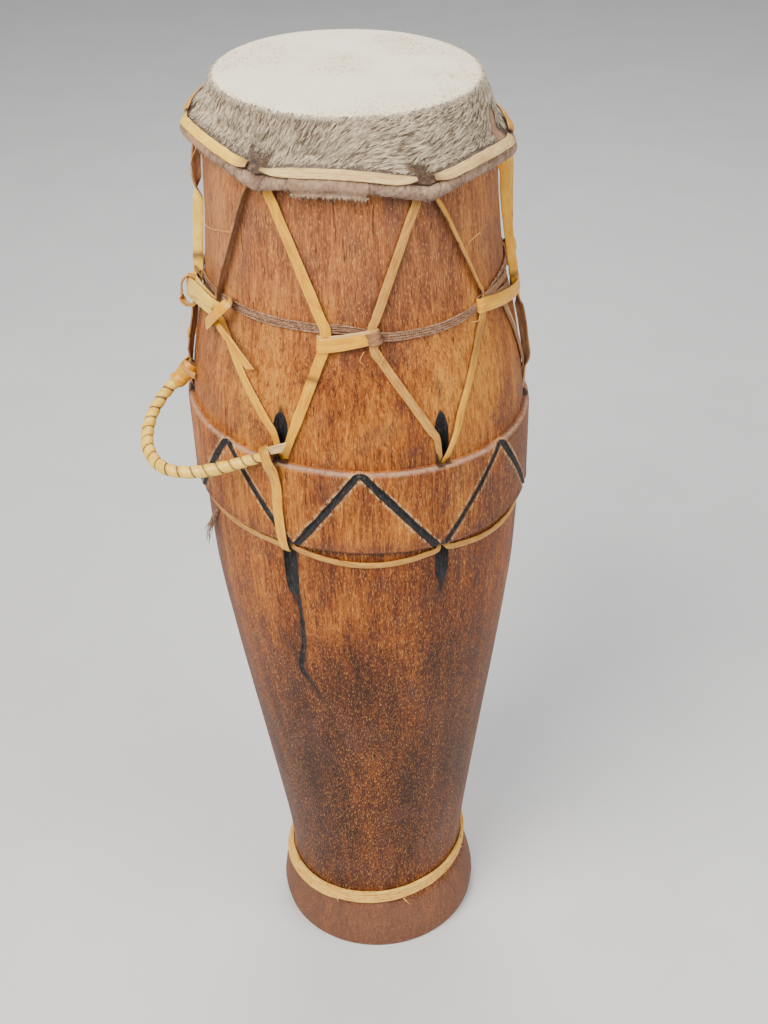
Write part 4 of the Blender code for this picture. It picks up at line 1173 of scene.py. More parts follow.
def makeHoop():
    turns = np.linspace(0, 360, hoop["turns"], endpoint=False)
    mesh = tubes("rolledHoop", [hoopMiddle(turns)], hoop["thick"], 7, cyclic=True)
    at = points(mesh)
    angle = angleOf(at)
    middle = hoopMiddle(angle)
    off = at - middle
    out = outward(at)
    roll = np.degrees(np.arctan2(off[:, 2], (off * out).sum(1)))
    draw = np.random.default_rng(71)
    seams = list(hoop["seams"])
    back = 84.0
    while back < 302:
        seams.append((back, draw.uniform(-8, 8)))
        back += draw.uniform(3.5, 9)
    starts = np.array([a for a, _ in seams])
    slants = np.array([slant for _, slant in seams])
    gaps = near(angle[:, None] - slants[None] * sine(roll)[:, None] * 0.35 - starts[None], 0)
    closest = np.abs(gaps).min(1)
    seam = np.exp(-(closest / 0.28)**2)
    # each wrap lies a little over the next
    order = np.argsort(starts)
    inOrder = starts[order]
    k = np.searchsorted(inOrder, near(angle, 124), side="right") - 1
    into = capped((near(angle, 124) - inOrder[k]) / 6)
    level = draw.uniform(-1, 1, len(seams) + 1)[k]
    swell = hoop["lump"] * (0.45 * ripple(angle * 5, np.radians(roll) * 0.02, 8, 72)
                            + 0.55 * level + 0.5 * np.exp(-into * 3) - 0.6 * seam)
    swell += 0.05 * ripple(angle * 22, np.radians(roll) * 0.03, 8, 73)
    setPoints(mesh, middle + off * (1 + swell)[:, None])
    setValues(mesh, "seam", capped(seam + 0.35 * capped(ripple(angle * 17, roll / 900, 7, 74))))
    patch = (np.exp(-((near(angle, -65) + 65) / 9)**4)
             + 0.5 * np.exp(-((near(angle, 82) - 82) / 6)**4))
    setValues(mesh, "tan", capped(patch))
    start, end, hang = hoop["flap"]
    bm = bmesh.new()
    bmesh.ops.create_grid(bm, x_segments=110, y_segments=14, size=0.5)
    flap = meshFrom(bm, "flap")
    at = points(flap)
    share, fall = at[:, 0] + 0.5, 0.5 - at[:, 1]
    angle = start + (end - start) * share
    reach = (0.96 + 0.30 * ripple(share * 900, share * 0, 9, 75)
             + 0.22 * ripple(share * 3000, share * 0, 9, 76))
    reach *= capped(np.minimum(share, 1 - share) / 0.09 + 0.35)
    turn = np.radians(np.interp(fall * reach, (0, 0.7, 1.3), (62, -62, -80)))
    radius = hoop["thick"] * 1.04 + 0.0009 + 0.0004 * ripple(share * 700, fall * 0.03, 8, 77)
    centre = hoopMiddle(angle)
    at = centre + outward(centre) * (np.cos(turn) * radius)[:, None]
    drop = capped(fall * reach - 0.62) * hang * 2.2
    at[:, 2] += np.sin(turn) * radius - drop
    at += outward(centre) * (capped(fall * reach - 0.62) * 0.0042
                             * (0.7 + 0.5 * ripple(share * 500, share * 0, 7, 78)))[:, None]
    setPoints(flap, at)
    setValues(flap, "seam", capped(0.3 * ripple(share * 2500, fall * 0.04, 8, 79)))
    setValues(flap, "tan", capped(0.35 + 0.5 * fall) * 0.45)
    flap = applied(walled(flap, hoop["flapThick"], -1))
    addPiece("rolledHoop", merged(mesh, flap), ("rolled",), ("hoop",), 0)

    # frayed edge: fine hairs under the flap, and a few along the whole hoop
    count, under = hoop["frayHairs"]
    share = draw.uniform(0, 1, count)
    angle = start + (end - start) * share
    angle[under:] = draw.uniform(-180, 180, count - under)
    centre = hoopMiddle(angle)
    below = np.where(np.arange(count) < under, -78.0, draw.uniform(-95, -10, count))
    turn = np.radians(below)[:, None]
    normal = outward(centre) * np.cos(turn) + np.array((0, 0, 1)) * np.sin(turn)
    root = centre + normal * hoop["thick"] * 1.04
    root[:under, 2] -= 0.0012
    root[:under] += outward(centre[:under]) * 0.0016
    way = np.array((0, 0, -1)) + draw.normal(0, 0.55, (count, 3))
    mesh = makeHairs("hoopFray", root, way, outward(centre), draw.gamma(2.0, 0.0008, count),
                     draw.uniform(0.00006, 0.00012, count), draw.uniform(0.0001, 0.0009, count), 80,
                     0.5)
    addPiece("hoopFray", mesh, ("fur",), sharp=0)
    print("hoop rolled")


makeHoop()


# The strips over the hoop: finish, widths along it, its ends' angles
hoopStrips = {
    "radius": 0.0990, "above": 0.0066, "dip": 0.0080, "width": 0.0060, "thick": 0.0012,
    "looks": (("pale", ((0, 0.25), (0.10, 0.80), (0.2, 1.0), (0.86, 1.0), (0.95, 0.8), (1, 0.5)),
               -31.0, 22.0),
              ("pale", ((0, 0.55), (0.08, 0.95), (0.5, 1.05), (0.93, 1.0), (1, 0.7)), 28.8, 81.6),
              ("golden", ((0, 0.6), (0.08, 1), (0.92, 1), (1, 0.6)), 86.4, 144.6),
              ("pale", ((0, 0.6), (0.08, 1), (0.92, 1), (1, 0.6)), 149.4, 205.6),
              ("golden", ((0, 0.6), (0.08, 1), (0.92, 1), (1, 0.6)), 210.4, 266.6),
              ("yellow", ((0, 0.7), (0.08, 1), (0.95, 1), (1, 0.72)), 271.4, 323.6)),
}


def makeHoopStrips():
    def flareFace(line):
        return unit(outward(line) * 0.66 + np.array((0, 0, 0.75)))

    for number, (finish, widths, first, last) in enumerate(hoopStrips["looks"], 1):
        share = np.linspace(0, 1, 15)
        angle = first + (last - first) * share
        dip = capped(np.abs(2 * share - 1) - 0.80) * hoopStrips["dip"]
        bow = 0.0006 * np.sin(share * np.pi) + 0.0003 * ripple(angle * 6, share * 0, 5, 90 + number)
        route = place(angle, hoopStrips["radius"] + drum["hoopOut"] * hoopWave(angle) - dip + bow,
                      hoopHeight(angle) + hoopStrips["above"] + dip)
        curl = ((0, 0), (0.9, 0), (1, 22 if number == 1 else 6))
        mesh = rattanStrip(f"hoopStrip{number}", route, hoopStrips["width"], hoopStrips["thick"],
                           finish,
                           faces=flareFace, widths=widths, turns=curl, across=8,
                           ridges=0.00016 if finish == "pale" else 0.0, seed=number,
                           marks=((0.0, 0.004, 0.8),
                                  (0.115 if number in (3, 5) else 9, 0.0012, 0.7),
                                  (0.09 if number == 6 else 9, 0.006, 0.7)))
        addPiece(f"hoopStrip{number}", mesh, (), (f"hoop_strip_{number}",))
    print("hoop strips laid")


makeHoopStrips()


def coil(middle, along, out, radii, turns, pitch, steps=22):
    # A winding round a strand: middle of it, the way it runs, and the way out of the wall
    side = np.cross(out, along)
    t = np.linspace(0, 1, int(turns * steps) + 1)
    turn = 2 * np.pi * turns * t - np.pi / 2
    return (middle + along * ((t - 0.5) * turns * pitch)[:, None]
            + side * (radii[0] * np.cos(turn))[:, None]
            + out * (radii[1] * np.sin(turn))[:, None])


def coilFaces(middle, along):
    def face(line):
        off = line - middle
        return unit(off - along * (off @ along)[:, None])
    return face


lacing = {
    "width": 0.0062, "thick": 0.0012, "gap": 0.0003, "hoopInside": 0.0912,
    "low": 0.0011, "stack": 0.0016,
    # each binding's left and right strand: angle, height, lift
    "bindings": (((-11.5, 0.5690, 0.0027), (5.0, 0.5695, 0.0027)),
                 ((51.0, 0.5735, 0.0027), (83.2, 0.5600, 0.0048)),
                 ((97.0, 0.5690, 0.0060), (124.0, 0.5700, 0.0027)),
                 ((170.0, 0.5710, 0.0027), (187.0, 0.5710, 0.0027)),
                 ((230.0, 0.5730, 0.0027), (247.0, 0.5730, 0.0027)),
                 ((276.3, 0.5700, 0.0040), (302.0, 0.5750, 0.0027))),
    "starts": ((-39.8, -31.2), (23.4, 31.6), (83.0, 88.5), (143, 151), (204, 212), (265, 274)),
    "outer": ("3R",), "outerStart": 0.0982,
    "tuck": ((0.0110, 0.0), (0.0040, 0.0), (-0.0030, 0.0010)),
    "clear": (0.0070, 0.0060), "entryAngle": (-2.2, 4.4), "entryAbove": 0.0190,
    # into the tunnel: height over its mouth, way out, way aside per degree of entry
    "into": ((0.0060, 0.0022, 0.00085), (-0.0010, 0.0004, 0.0004), (-0.0160, -0.0003, 0.0002)),
    # finish, back, width, rolls above and below the binding as (share, degrees), marks
    "looks": {
        "1L": ("golden", "brown", 1.0, ((0, -30), (0.12, -65), (0.8, -66), (1, -55)),
               ((0, 0), (1, 0)), ()),
        "1R": ("golden", "brown", 1.08, ((0, 0), (1, 0)), ((0, 0), (1, 0)),
               ((0.134, 0.0022, 0.9),)),
        "2L": ("tawny", "tawny", 0.88, ((0, 0), (1, 0)), ((0, 0), (1, 0)), ()),
        "2R": ("golden", "brown", 0.85, ((0, 20), (0.15, 45), (0.9, 38), (1, 4)), ((0, 0), (1, 0)),
               ((0.122, 0.019, 0.62),)),
        "3L": ("golden", "brown", 1.0, ((0, -30), (0.1, -68), (0.9, -68), (1, -20)),
               ((0.02, 20), (0.10, 64), (0.8, 64), (1, 0)), ((0.092, 0.0025, 0.9),)),
        "3R": ("golden", "brown", 1.05, ((0, -30), (0.1, -52), (0.9, -52), (1, -20)),
               ((0, -20), (1, 0)),
               ((0.05, 0.002, 0.8),)),
        "4L": ("golden", "brown", 1.0, ((0, 180), (1, 180)), ((0, 180), (0.3, 0), (1, 0)), ()),
        "4R": ("golden", "brown", 1.0, ((0, 0), (1, 0)), ((0, 0), (0.2, 180), (1, 180)),
               ((0.06, 0.002, 0.8),)),
        "5L": ("tawny", "brown", 1.0, ((0, 0), (1, 0)), ((0, 0), (1, 0)), ()),
        "5R": ("golden", "brown", 0.95, ((0, 0), (1, 0)),
               ((0, 0), (0.2, 180), (0.7, 180), (0.9, 0), (1, 0)),
               ((0.16, 0.002, 0.8),)),
        "6L": ("golden", "brown", 1.0, ((0, 180), (1, 180)),
               ((0, 180), (0.7, 180), (0.9, 0), (1, 0)), ()),
        "6R": ("yellow", "brown", 1.1,
               ((0, -30), (0.1, -58), (0.34, -58), (0.46, 66), (0.94, 66), (1, 30)),
               ((0.02, -10), (0.1, -36), (0.8, -36), (1, 0)), ((0.088, 0.0028, 0.95),)),
    },
    # the strands hang on the way they came for a little past the binding
    "lean": (0.7, 0.5),
    "knotOn": ("3R", 0.5785),
    "brown": ("1L", "2R", "3L", "4R", "5L", "6R"),    # their slot in the record; nothing in this script reads it
}


def taut(start, end, steps, lifts):
    # Pulled straight from start to end, and pushed out where the wall bulges
    share = np.arange(1, steps + 1)[:, None] / steps
    line = start + (end - start) * share
    least = wallRadius(angleOf(line), line[:, 2]) + np.asarray(lifts)[1:]
    return place(angleOf(line), np.maximum(spreadOf(line), least), line[:, 2])


def tunnelMouth(angle, top=True):
    edge = drum["collarTop"] if top else drum["collarBottom"]
    return edge + collarRise(angle)


def inTunnel(angle, height, aside, out):
    off = height - collarMiddle(angle)
    radius = shell["tunnelMiddle"] + shell["tunnelBend"] * off**2 + out
    return place(angle + math.degrees(aside / radius), radius, height)


def makeStrands():
    half = lacing["width"] / 2
    for number, (corner, tunnel) in enumerate(zip(drum["corners"], drum["tunnels"]), 1):
        for side, sign in (("L", -1), ("R", 1)):
            name = f"{number}{side}"
            finish, back, wide, rollAbove, rollBelow, marks = lacing["looks"][name]
            before, after = lacing["bindings"][number - 2][1], lacing["bindings"][number - 1][0]
            bound, height, lift = before if sign < 0 else after
            bound = near(bound, corner)
            start = near(lacing["starts"][number - 1][0 if sign < 0 else 1], corner)
            under = float(hoopHeight(start)) - drum["hoopThick"]
            if name in lacing["outer"]:
                top = [place(start, lacing["outerStart"], under - lacing["gap"] - half / 4)]
            else:
                top = [place(start, lacing["hoopInside"] + out, under + up) for up,
                       out in lacing["tuck"]]
            above, below = lacing["lean"]
            upper = onWall(bound + (above if sign > 0 else 0), height + lacing["clear"][0], lift)
            lower = onWall(bound - below * sign, height - lacing["clear"][1], lift)
            steps = 12
            shares = np.arange(steps + 1) / steps
            stand = np.abs(sine(np.interp(shares, *zip(*rollAbove))))
            free = taut(top[-1], upper, steps, lacing["gap"] + half * wide * stand
                        + lacing["thick"] / 2)
            mouth = tunnelMouth(tunnel)
            over = lacing["stack"] if sign > 0 else 0.0
            aside = lacing["entryAngle"][sign > 0]
            stand = np.abs(sine(np.interp(shares, *zip(*rollBelow)))) * capped((1 - shares) * 8)
            entry = onWall(tunnel + aside, mouth + lacing["entryAbove"], lacing["low"] + over)
            down = taut(lower, entry, steps, lacing["low"] + half * wide * stand)
            inside = [inTunnel(tunnel, mouth + up, aside * across, out + over) for up, out,
                      across in lacing["into"]]
            route = np.array([*top, *free, lower, *down, *inside])
            lengths = lengthAlong(route)
            at = lengths / lengths[-1]
            knot = at[len(top) + steps]
            rolls = [(knot * 0.97 * share, roll) for share, roll in rollAbove]
            rolls += [(knot * 1.03 + (at[-5] - knot * 1.03) * share, roll) for share,
                      roll in rollBelow]
            widths = ((0, 1), (at[-4] - 0.05, 1), (at[-4], 0.80), (at[-3], 0.70), (1, 0.66))
            mesh = rattanStrip(f"strand{name}", route, lacing["width"] * wide, lacing["thick"],
                               finish, back,
                               turns=rolls, widths=widths, marks=marks, seed=number * 2 + sign,
                               across=8,
                               ridges=0.00012 if finish == "tawny" else 0.00005)
            if name == lacing["knotOn"][0]:
                k = int(np.argmin(np.abs(route[:, 2] - lacing["knotOn"][1])))
                along = unit(route[k + 1] - route[k - 1])
                winds = [rattanStrip("node",
                                     coil(route[k] + along * rise, along,
                                          offWall(route[k][None])[0],
                                                  (0.0036, 0.0040), 1.2, 0.0010), 0.0032, 0.0009,
                                                  "golden",
                                     faces=coilFaces(route[k], along), step=0.0008, seed=95,
                                     crown=0.2)
                         for rise in (-0.0022, 0.0014)]
                mesh = merged(mesh, *winds)
            node = f"strand_{number}_{'left' if sign < 0 else 'right'}"
            addPiece(f"strand{name}", mesh, (), (node,))
    print("strands pulled tight")


makeStrands()


collarStrips = {
    "width": 0.0040, "thick": 0.0012, "sags": (0.0062, 0.0045, 0.0050, 0.0040, 0.0040, 0.0005),
    "tuck": ((0.0040, 0.0002, -0.0012), (-0.0008, 0.0012, 0.0002)),
    "bend": ((1.7, 0.0036), (2.9, 0.0054)),
    "inset": 3.0, "below": 0.0030,
    "finishes": ("tawny", "tawny", "pale", "golden", "tawny", "tawny"),
}


def makeCollarStrips():
    half = collarStrips["width"] / 2
    for number, left in enumerate(drum["tunnels"], 1):
        right = near(drum["tunnels"][number % 6], left + 60)
        ends = []
        for tunnel, sign in ((left, 1), (right, -1)):
            edge = tunnelMouth(tunnel, top=False)
            end = [inTunnel(tunnel, edge + up, sign * aside, out) for up, aside,
                   out in collarStrips["tuck"]]
            end += [onWall(tunnel + sign * aside, edge - fall, lacing["low"]) for aside,
                    fall in collarStrips["bend"]]
            ends.append(end)
        share = np.arange(1, 12)[:, None] / 12
        angle = (left + collarStrips["inset"] + (right - left - 2 * collarStrips["inset"])
                 * share[:, 0])
        edge = drum["collarBottom"] + collarRise(angle)
        sag = collarStrips["sags"][number - 1] * 4 * (share * (1 - share))[:, 0]
        run = onWall(angle, edge - collarStrips["below"] - half - sag, lacing["low"])
        route = np.array([*ends[0], *run, *ends[1][::-1]])
        mesh = rattanStrip(f"collarStrip{number}", route, collarStrips["width"],
                           collarStrips["thick"],
                           collarStrips["finishes"][number - 1], seed=40 + number, across=6,
                           ridges=0.0001,
                           widths=((0, 0.65), (0.06, 0.9), (0.12, 1), (0.88, 1), (0.94, 0.9),
                                   (1, 0.65)))
        addPiece(f"collarStrip{number}", mesh, (), (f"collar_strip_{number}",))
    print("collar strips laid")


makeCollarStrips()


twine = {
    "cords": (-0.00225, -0.00075, 0.00075, 0.00225), "points": 1350, "ply": 0.00044,
    "apart": 0.00040,
    "lift": 0.00108, "frayHairs": 260,
    "height": ((-58, 0.5790), (-30, 0.5775), (-3, 0.5770), (9, 0.5705), (30, 0.5695), (47, 0.5715),
               (60, 0.5770), (76, 0.5790), (110, 0.5750), (180, 0.5740), (240, 0.5760),
               (302, 0.5790)),
    # length of a twist by angle: long where the fibres lie straight
    "twist": ((-58, 0.0052), (-16, 0.0056), (-12, 0.05), (3, 0.05), (7, 0.0028), (50, 0.0024),
              (60, 0.005), (302, 0.0052)),
}


def makeTwine():
    angle = np.linspace(-58, 302, twine["points"], endpoint=False)
    height = np.interp(angle, *zip(*twine["height"]))
    kernel = np.hanning(61)
    kernel /= kernel.sum()
    height = np.convolve(np.r_[height[-30:], height, height[:30]], kernel, "valid")
    pitch = np.interp(angle, *zip(*twine["twist"]))
    step = 0.098 * math.radians(360 / twine["points"])
    turn = np.cumsum(2 * np.pi * step / pitch)
    turn *= round(turn[-1] / (2 * np.pi)) * 2 * np.pi / turn[-1]
    routes = []
    loose = np.interp(angle, (-58, -16, -10, 2, 8, 302), (0.5, 0.5, 1.0, 1.0, 0.3, 0.6))
    for number, offset in enumerate(twine["cords"]):
        wander = 0.00022 * ripple(angle * 4, height * 0, 6, 110 + number) * loose
        for ply in (0, np.pi):
            phase = turn * (1 if number % 2 else -1) + ply + number
            routes.append(onWall(angle, height + offset + wander + twine["apart"] * np.sin(phase),
                                 twine["lift"] + twine["apart"] * np.cos(phase)))
    mesh = tubes("twineBelt", routes, twine["ply"], 1, cyclic=True)
    addPiece("twineBelt", mesh, ("twine",), ("twine_belt",), 0)
    draw = np.random.default_rng(115)
    count = twine["frayHairs"]
    k = draw.integers(0, len(angle), count)
    root = onWall(angle[k], height[k] + draw.uniform(-0.0024, 0.0024, count), 0.0016)
    way = sideways(angle[k]) * draw.choice((-1, 1), (count, 1)) + draw.normal(0, 0.5, (count, 3))
    mesh = makeHairs("twineFray", root, way, offWall(root), draw.uniform(0.001, 0.0042, count),
                     np.full(count, 0.00007), draw.uniform(0.0002, 0.0018, count), 116, 0.6)
    addPiece("twineFray", mesh, ("fur",), sharp=0)
    print("twine twisted")


makeTwine()


# Bindings: each strip goes behind its left strand, over both, and in beside the right one
bindings = {
    "width": 0.0090, "thick": 0.0010, "over": 0.0017,
    "narrow": ((0, 1), (0.3, 1), (0.75, 0.88), (1, 0.78)),
    "finishes": ("golden", "golden", "golden", "yellow", "golden"),
    "ends": 2.1, "tilts": ((-0.0010, 0.0030), (-0.0002, 0.0010), (0, 0), (0, 0), (0, 0)),
    # the second one's loose end: down the wall, then into its tunnel, and its pale rim
    "tail": ((66.8, 0.5655), (69.5, 0.5545), (73.2, 0.5410), (77.0, 0.5270), (80.6, 0.5140),
             (83.2, 0.5045)),
    "tailTunnel": 87,
    "tailEnd": ((0.0060, -0.0030, 0.0012), (-0.0030, -0.0016, -0.0004),
                (-0.0140, -0.0010, -0.0006)),
    "tailRim": ((69.3, 0.5570), (71.6, 0.5480), (74.1, 0.5370)),
}


def wrapRoute(left, right, rise=0.0, out=0.0):
    # Round the left strand from behind, across the front, and round the right strand
    (a, z, lift), (b, height, last) = left, right
    over, reach = bindings["over"] + out, bindings["ends"]
    stops = [(a + 1.6, z, 0.0011 + out), (a - reach + 0.7, z, 0.0012 + out),
             (a - reach - 0.2, z, lift * 0.55 + 0.0008),
             (a - reach + 0.5, z, lift + over * 0.80), (a - reach + 1.6, z, lift + over)]
    for k in range(1, 6):
        share = k / 6
        stops.append((a + (b - a) * share, z + (height - z) * share,
                      lift + (last - lift) * share + over))
    stops += [(b + reach - 1.6, height, last + over), (b + reach - 0.5, height, last + over * 0.75),
              (b + reach + 0.2, height, last * 0.6 + 0.0006), (b + reach - 0.4, height, 0.0012)]
    return np.array([onWall(angle, level + rise, up) for angle, level, up in stops])


def makeBindings():
    # the sixth is in the big left knot
    for number, (left, right) in enumerate(lacing["bindings"][:5], 1):
        finish = bindings["finishes"][number - 1]
        left, right = ((a, z + tilt, lift) for (a, z, lift), tilt in
                       zip((left, right), bindings["tilts"][number - 1]))
        parts = [rattanStrip("wrap", wrapRoute(left, right), bindings["width"], bindings["thick"],
                             finish,
                             upright=True, seed=130 + number, across=8, step=0.0007, crown=0.08,
                             ragged=0.03,
                             widths=bindings["narrow"])]
        if number != 2:
            parts.append(rattanStrip("underWrap", wrapRoute(left, right, 0.0011, -0.0011),
                                     bindings["width"] * 0.94,
                                     0.0008, "pale", upright=True, seed=140 + number, across=6,
                                     step=0.0009,
                                     crown=0.02, widths=bindings["narrow"]))
        if number in (1, 3, 5):
            # a brown winding ties the strip's end round the right strand
            angle, height, lift = right
            middle = onWall(angle + 0.4, height + 0.0002, lift + 0.0004)
            upper = onWall(angle - 0.6, height + 0.006, lift)
            along = unit(upper - middle)
            out = offWall(middle[None])[0]
            for turn, rise in enumerate((-0.0030, -0.0006, 0.0018)):
                centre = middle + along * rise
                tilt = unit(along + np.cross(out, along) * (-0.16, 0.30, -0.10)[turn])
                parts.append(rattanStrip("tie",
                                         coil(centre, tilt, out, (0.0041, 0.0037), 1.1, 0.0007),
                                         0.0030, 0.0008,
                                         "brown", faces=coilFaces(centre, tilt), seed=150 + turn,
                                         across=6,
                                         step=0.0008, ridges=0.00014, crown=0.25))
        if number == 2:
            for (a, z), (b, level) in (((52.6, 0.5771), (74.0, 0.5768)),
                                       ((55.0, 0.5737), (74.0, 0.5688))):
                share = np.linspace(0, 1, 5)
                route = onWall(a + (b - a) * share, z + (level - z) * share, 0.0027)
                parts.append(rattanStrip("flat", route, 0.0042, 0.0007, "brown", seed=int(a),
                                         ridges=0.00014, across=8))
        addPiece(f"binding{number}", merged(*parts), (), (f"binding_{number}",))
    tail = [onWall(a, z, 0.0011) for a, z in bindings["tail"]]
    tunnel = bindings["tailTunnel"]
    tail += [inTunnel(tunnel, tunnelMouth(tunnel) + up, aside, out)
             for up, aside, out in bindings["tailEnd"]]
    rim = [onWall(a, z, 0.0019) for a, z in bindings["tailRim"]]
    mesh = merged(rattanStrip("tail", tail, 0.0056, 0.0010, "brown", seed=161, ridges=0.0001,
                              across=8),
                  rattanStrip("tailRim", rim, 0.0012, 0.0005, "pale", seed=162,
                              widths=((0, 0.3), (0.2, 1), (1, 0.3))))
    addPiece("bindingTail", mesh, (), ("binding_2_tail",))
    print("bindings wrapped")


makeBindings()


# The big left knot, strip by strip: finish, width, its stops (angle, height, lift), widths
# along it, thickness
knotStrips = (
    ("yellow", 0.0086, ((-88, 0.5606, 0.0090), (-84, 0.5634, 0.0072), (-76.1, 0.5672, 0.0060),
                        (-66.0, 0.5708, 0.0068),
                        (-60.0, 0.5700, 0.0050)), ((0, 0.7), (0.2, 1.0), (1, 0.9)), 0.0010),
    ("yellow", 0.0108, ((-88, 0.5690, 0.0060), (-89, 0.5680, 0.0098), (-84, 0.5690, 0.0092),
                        (-78.0, 0.5725, 0.0092),
                        (-71.0, 0.5768, 0.0094), (-64.5, 0.5788, 0.0098), (-59.0, 0.5770, 0.0080),
                        (-56.5, 0.5745, 0.0040)),
     ((0, 0.8), (0.3, 1.0), (0.75, 0.9), (1, 0.6)), 0.0010),
    ("golden", 0.0072, ((-50.8, 0.5819, 0.0030), (-48.2, 0.5836, 0.0068), (-49.0, 0.5809, 0.0104),
                        (-52.1, 0.5747, 0.0118),
                        (-56.3, 0.5671, 0.0106), (-60.4, 0.5610, 0.0076), (-60.8, 0.5606, 0.0030)),
     ((0, 0.9), (1, 0.95)), 0.0011),
    ("yellow", 0.0066, ((-80, 0.5790, 0.0030), (-74.0, 0.5812, 0.0074), (-68, 0.5822, 0.0084),
                        (-62, 0.5800, 0.0066),
                        (-58, 0.5770, 0.0040)), ((0, 0.7), (0.5, 0.9), (1, 0.5)), 0.0010),
    ("golden", 0.0050, ((-58.5, 0.5675, 0.0062), (-52.4, 0.5650, 0.0078), (-46.4, 0.5607, 0.0084),
                        (-41.0, 0.5547, 0.0086),
                        (-36.3, 0.5486, 0.0088)), ((0, 0.8), (0.2, 1.0), (1, 1.05)), 0.0010),
    ("brown", 0.0048, ((-86, 0.5800, 0.0060), (-80, 0.5822, 0.0062), (-74, 0.5802, 0.0040)),
     ((0, 0.6), (1, 0.6)), 0.0008),
)
# the open loop left of the knot, and the depth its strip lies in
knotLoop = {
    "stops": ((-79, 0.5762, 0.0055), (-83, 0.5760, 0.0086), (-86, 0.5710, 0.0124),
              (-88, 0.5629, 0.0133),
              (-88, 0.5558, 0.0121), (-85, 0.5541, 0.0086), (-80, 0.5582, 0.0048)),
    "width": 0.0064, "thick": 0.0010,
}


def makeLeftKnot():
    parts = []
    for number, (finish, width, stops, widths, thick) in enumerate(knotStrips):
        route = np.array([onWall(*stop) for stop in stops])
        parts.append(rattanStrip("knot", route, width, thick, finish, widths=widths,
                                 seed=170 + number,
                                 step=0.0008, across=8, crown=0.10, ragged=0.03, ridges=0.00004,
                                 slant=0.9 if number == 4 else 0.0))
    route = np.array([onWall(*stop) for stop in knotLoop["stops"]])
    parts.append(rattanStrip("loop", route, knotLoop["width"], knotLoop["thick"], "tawny",
                             step=0.0008, seed=180,
                             faces=coilFaces(route.mean(0), unit(sideways(-88))),
                             widths=((0, 0.8), (0.5, 1), (1, 0.8))))
    addPiece("binding6", merged(*parts), (), ("binding_6",))
    print("left knot tied")


makeLeftKnot()


handle = {
    "route": ((-80.6, 0.1104, 0.5160), (-80.4, 0.1180, 0.5070), (-79.8, 0.1290, 0.4985),
              (-75.2, 0.1405, 0.4900), (-70.0, 0.1475, 0.4850), (-65.0, 0.1520, 0.4815),
              (-60.0, 0.1535, 0.4790), (-55.0, 0.1525, 0.4786), (-51.0, 0.1475, 0.4790),
              (-47.3, 0.1395, 0.4798), (-43.8, 0.1318, 0.4818), (-40.3, 0.1255, 0.4845),
              (-36.8, 0.1208, 0.4876), (-33.0, 0.1190, 0.4912), (-29.5, 0.1180, 0.4945)),
    "core": 0.0033, "outside": 0.0042, "end": 0.0031, "wrap": 0.0078, "pitch": 0.0086,
    "thick": 0.0009,
    "tie": ((-31.5, 0.1150, 0.4925), (-31.3, 0.1158, 0.4975), (-30.6, 0.1190, 0.5003),
            (-29.3, 0.1226, 0.4988), (-28.3, 0.1232, 0.4925), (-28.0, 0.1196, 0.4840),
            (-27.9, 0.1163, 0.4720), (-28.0, 0.1162, 0.4550), (-27.7, 0.1162, 0.4400),
            (-27.2, 0.1160, 0.4290), (-27.0, 0.1146, 0.4235), (-27.1, 0.1120, 0.4205)),
    "stub": ((-30.6, 0.1190, 0.4972), (-27.4, 0.1204, 0.5012), (-25.3, 0.1202, 0.5032),
             (-23.4, 0.1186, 0.5042)),
    "knot": (0.0050, 0.0061, 0.0054, 0.0058), "knotWidth": 0.0070, "knotPitch": 0.0056,
    "knotEnd": 0.0175,
    # the crossing over the upper knot: angle, height and lift of its middle
    "crossing": (-79.5, 0.5150, 0.0052),
}


def framesAlong(line):
    # Two directions across a route that don't spin round it
    along = unit(np.gradient(line, axis=0))
    first = np.cross(along[0], (0, 0, 1.0))
    rows = [first / np.linalg.norm(first)]
    for k in range(1, len(line)):
        row = rows[-1] - along[k] * (rows[-1] @ along[k])
        rows.append(row / np.linalg.norm(row))
    first = np.array(rows)
    return along, first, np.cross(along, first)


def windOn(name, line, radius, width, pitch, thick, finish, begin, end, seed, steps=26,
           crown=0.0005):
    # A flat strip wound round a route, edge beside edge
    draw = np.random.default_rng(seed)
    length = lengthAlong(line)
    _, first, second = framesAlong(line)
    turns = (end - begin) / pitch
    mesh = stripGrid(name, int(turns * steps), 6, (turns * 6.3 * radius[0], width), (0, seed))
    at = points(mesh)
    t, y = at[:, 0] + 0.5, at[:, 1] * 2
    turn = t * turns * 2 * np.pi
    rounds = np.arange(0, turns + 2)
    uneven = np.interp(t * turns, rounds, draw.normal(0, 1, int(turns) + 3)[:len(rounds)])
    spot = np.clip(begin + (end - begin) * t + y * width / 2 * (1 + 0.05 * uneven), begin, end)
    k = np.interp(spot, length, np.arange(len(line)))
    low = np.clip(k.astype(int), 0, len(line) - 2)
    part = (k - low)[:, None]
    centre = line[low] * (1 - part) + line[low + 1] * part
    across = first[low] * (1 - part) + first[low + 1] * part
    upward = second[low] * (1 - part) + second[low + 1] * part
    size = np.interp(spot, np.linspace(begin, end, len(radius)), radius)
    size = size + crown * (1 - y**2) - crown + 0.00012 * uneven
    setPoints(mesh, centre + across * (size * np.cos(turn))[:, None]
              + upward * (size * np.sin(turn))[:, None])
    setValues(mesh, "mark", capped(np.abs(y) - 0.72) * 1.6)
    for key in (finish, "brown"):
        mesh.materials.append(finishes[key])
    return applied(walled(mesh, thick, -1, backed=True))


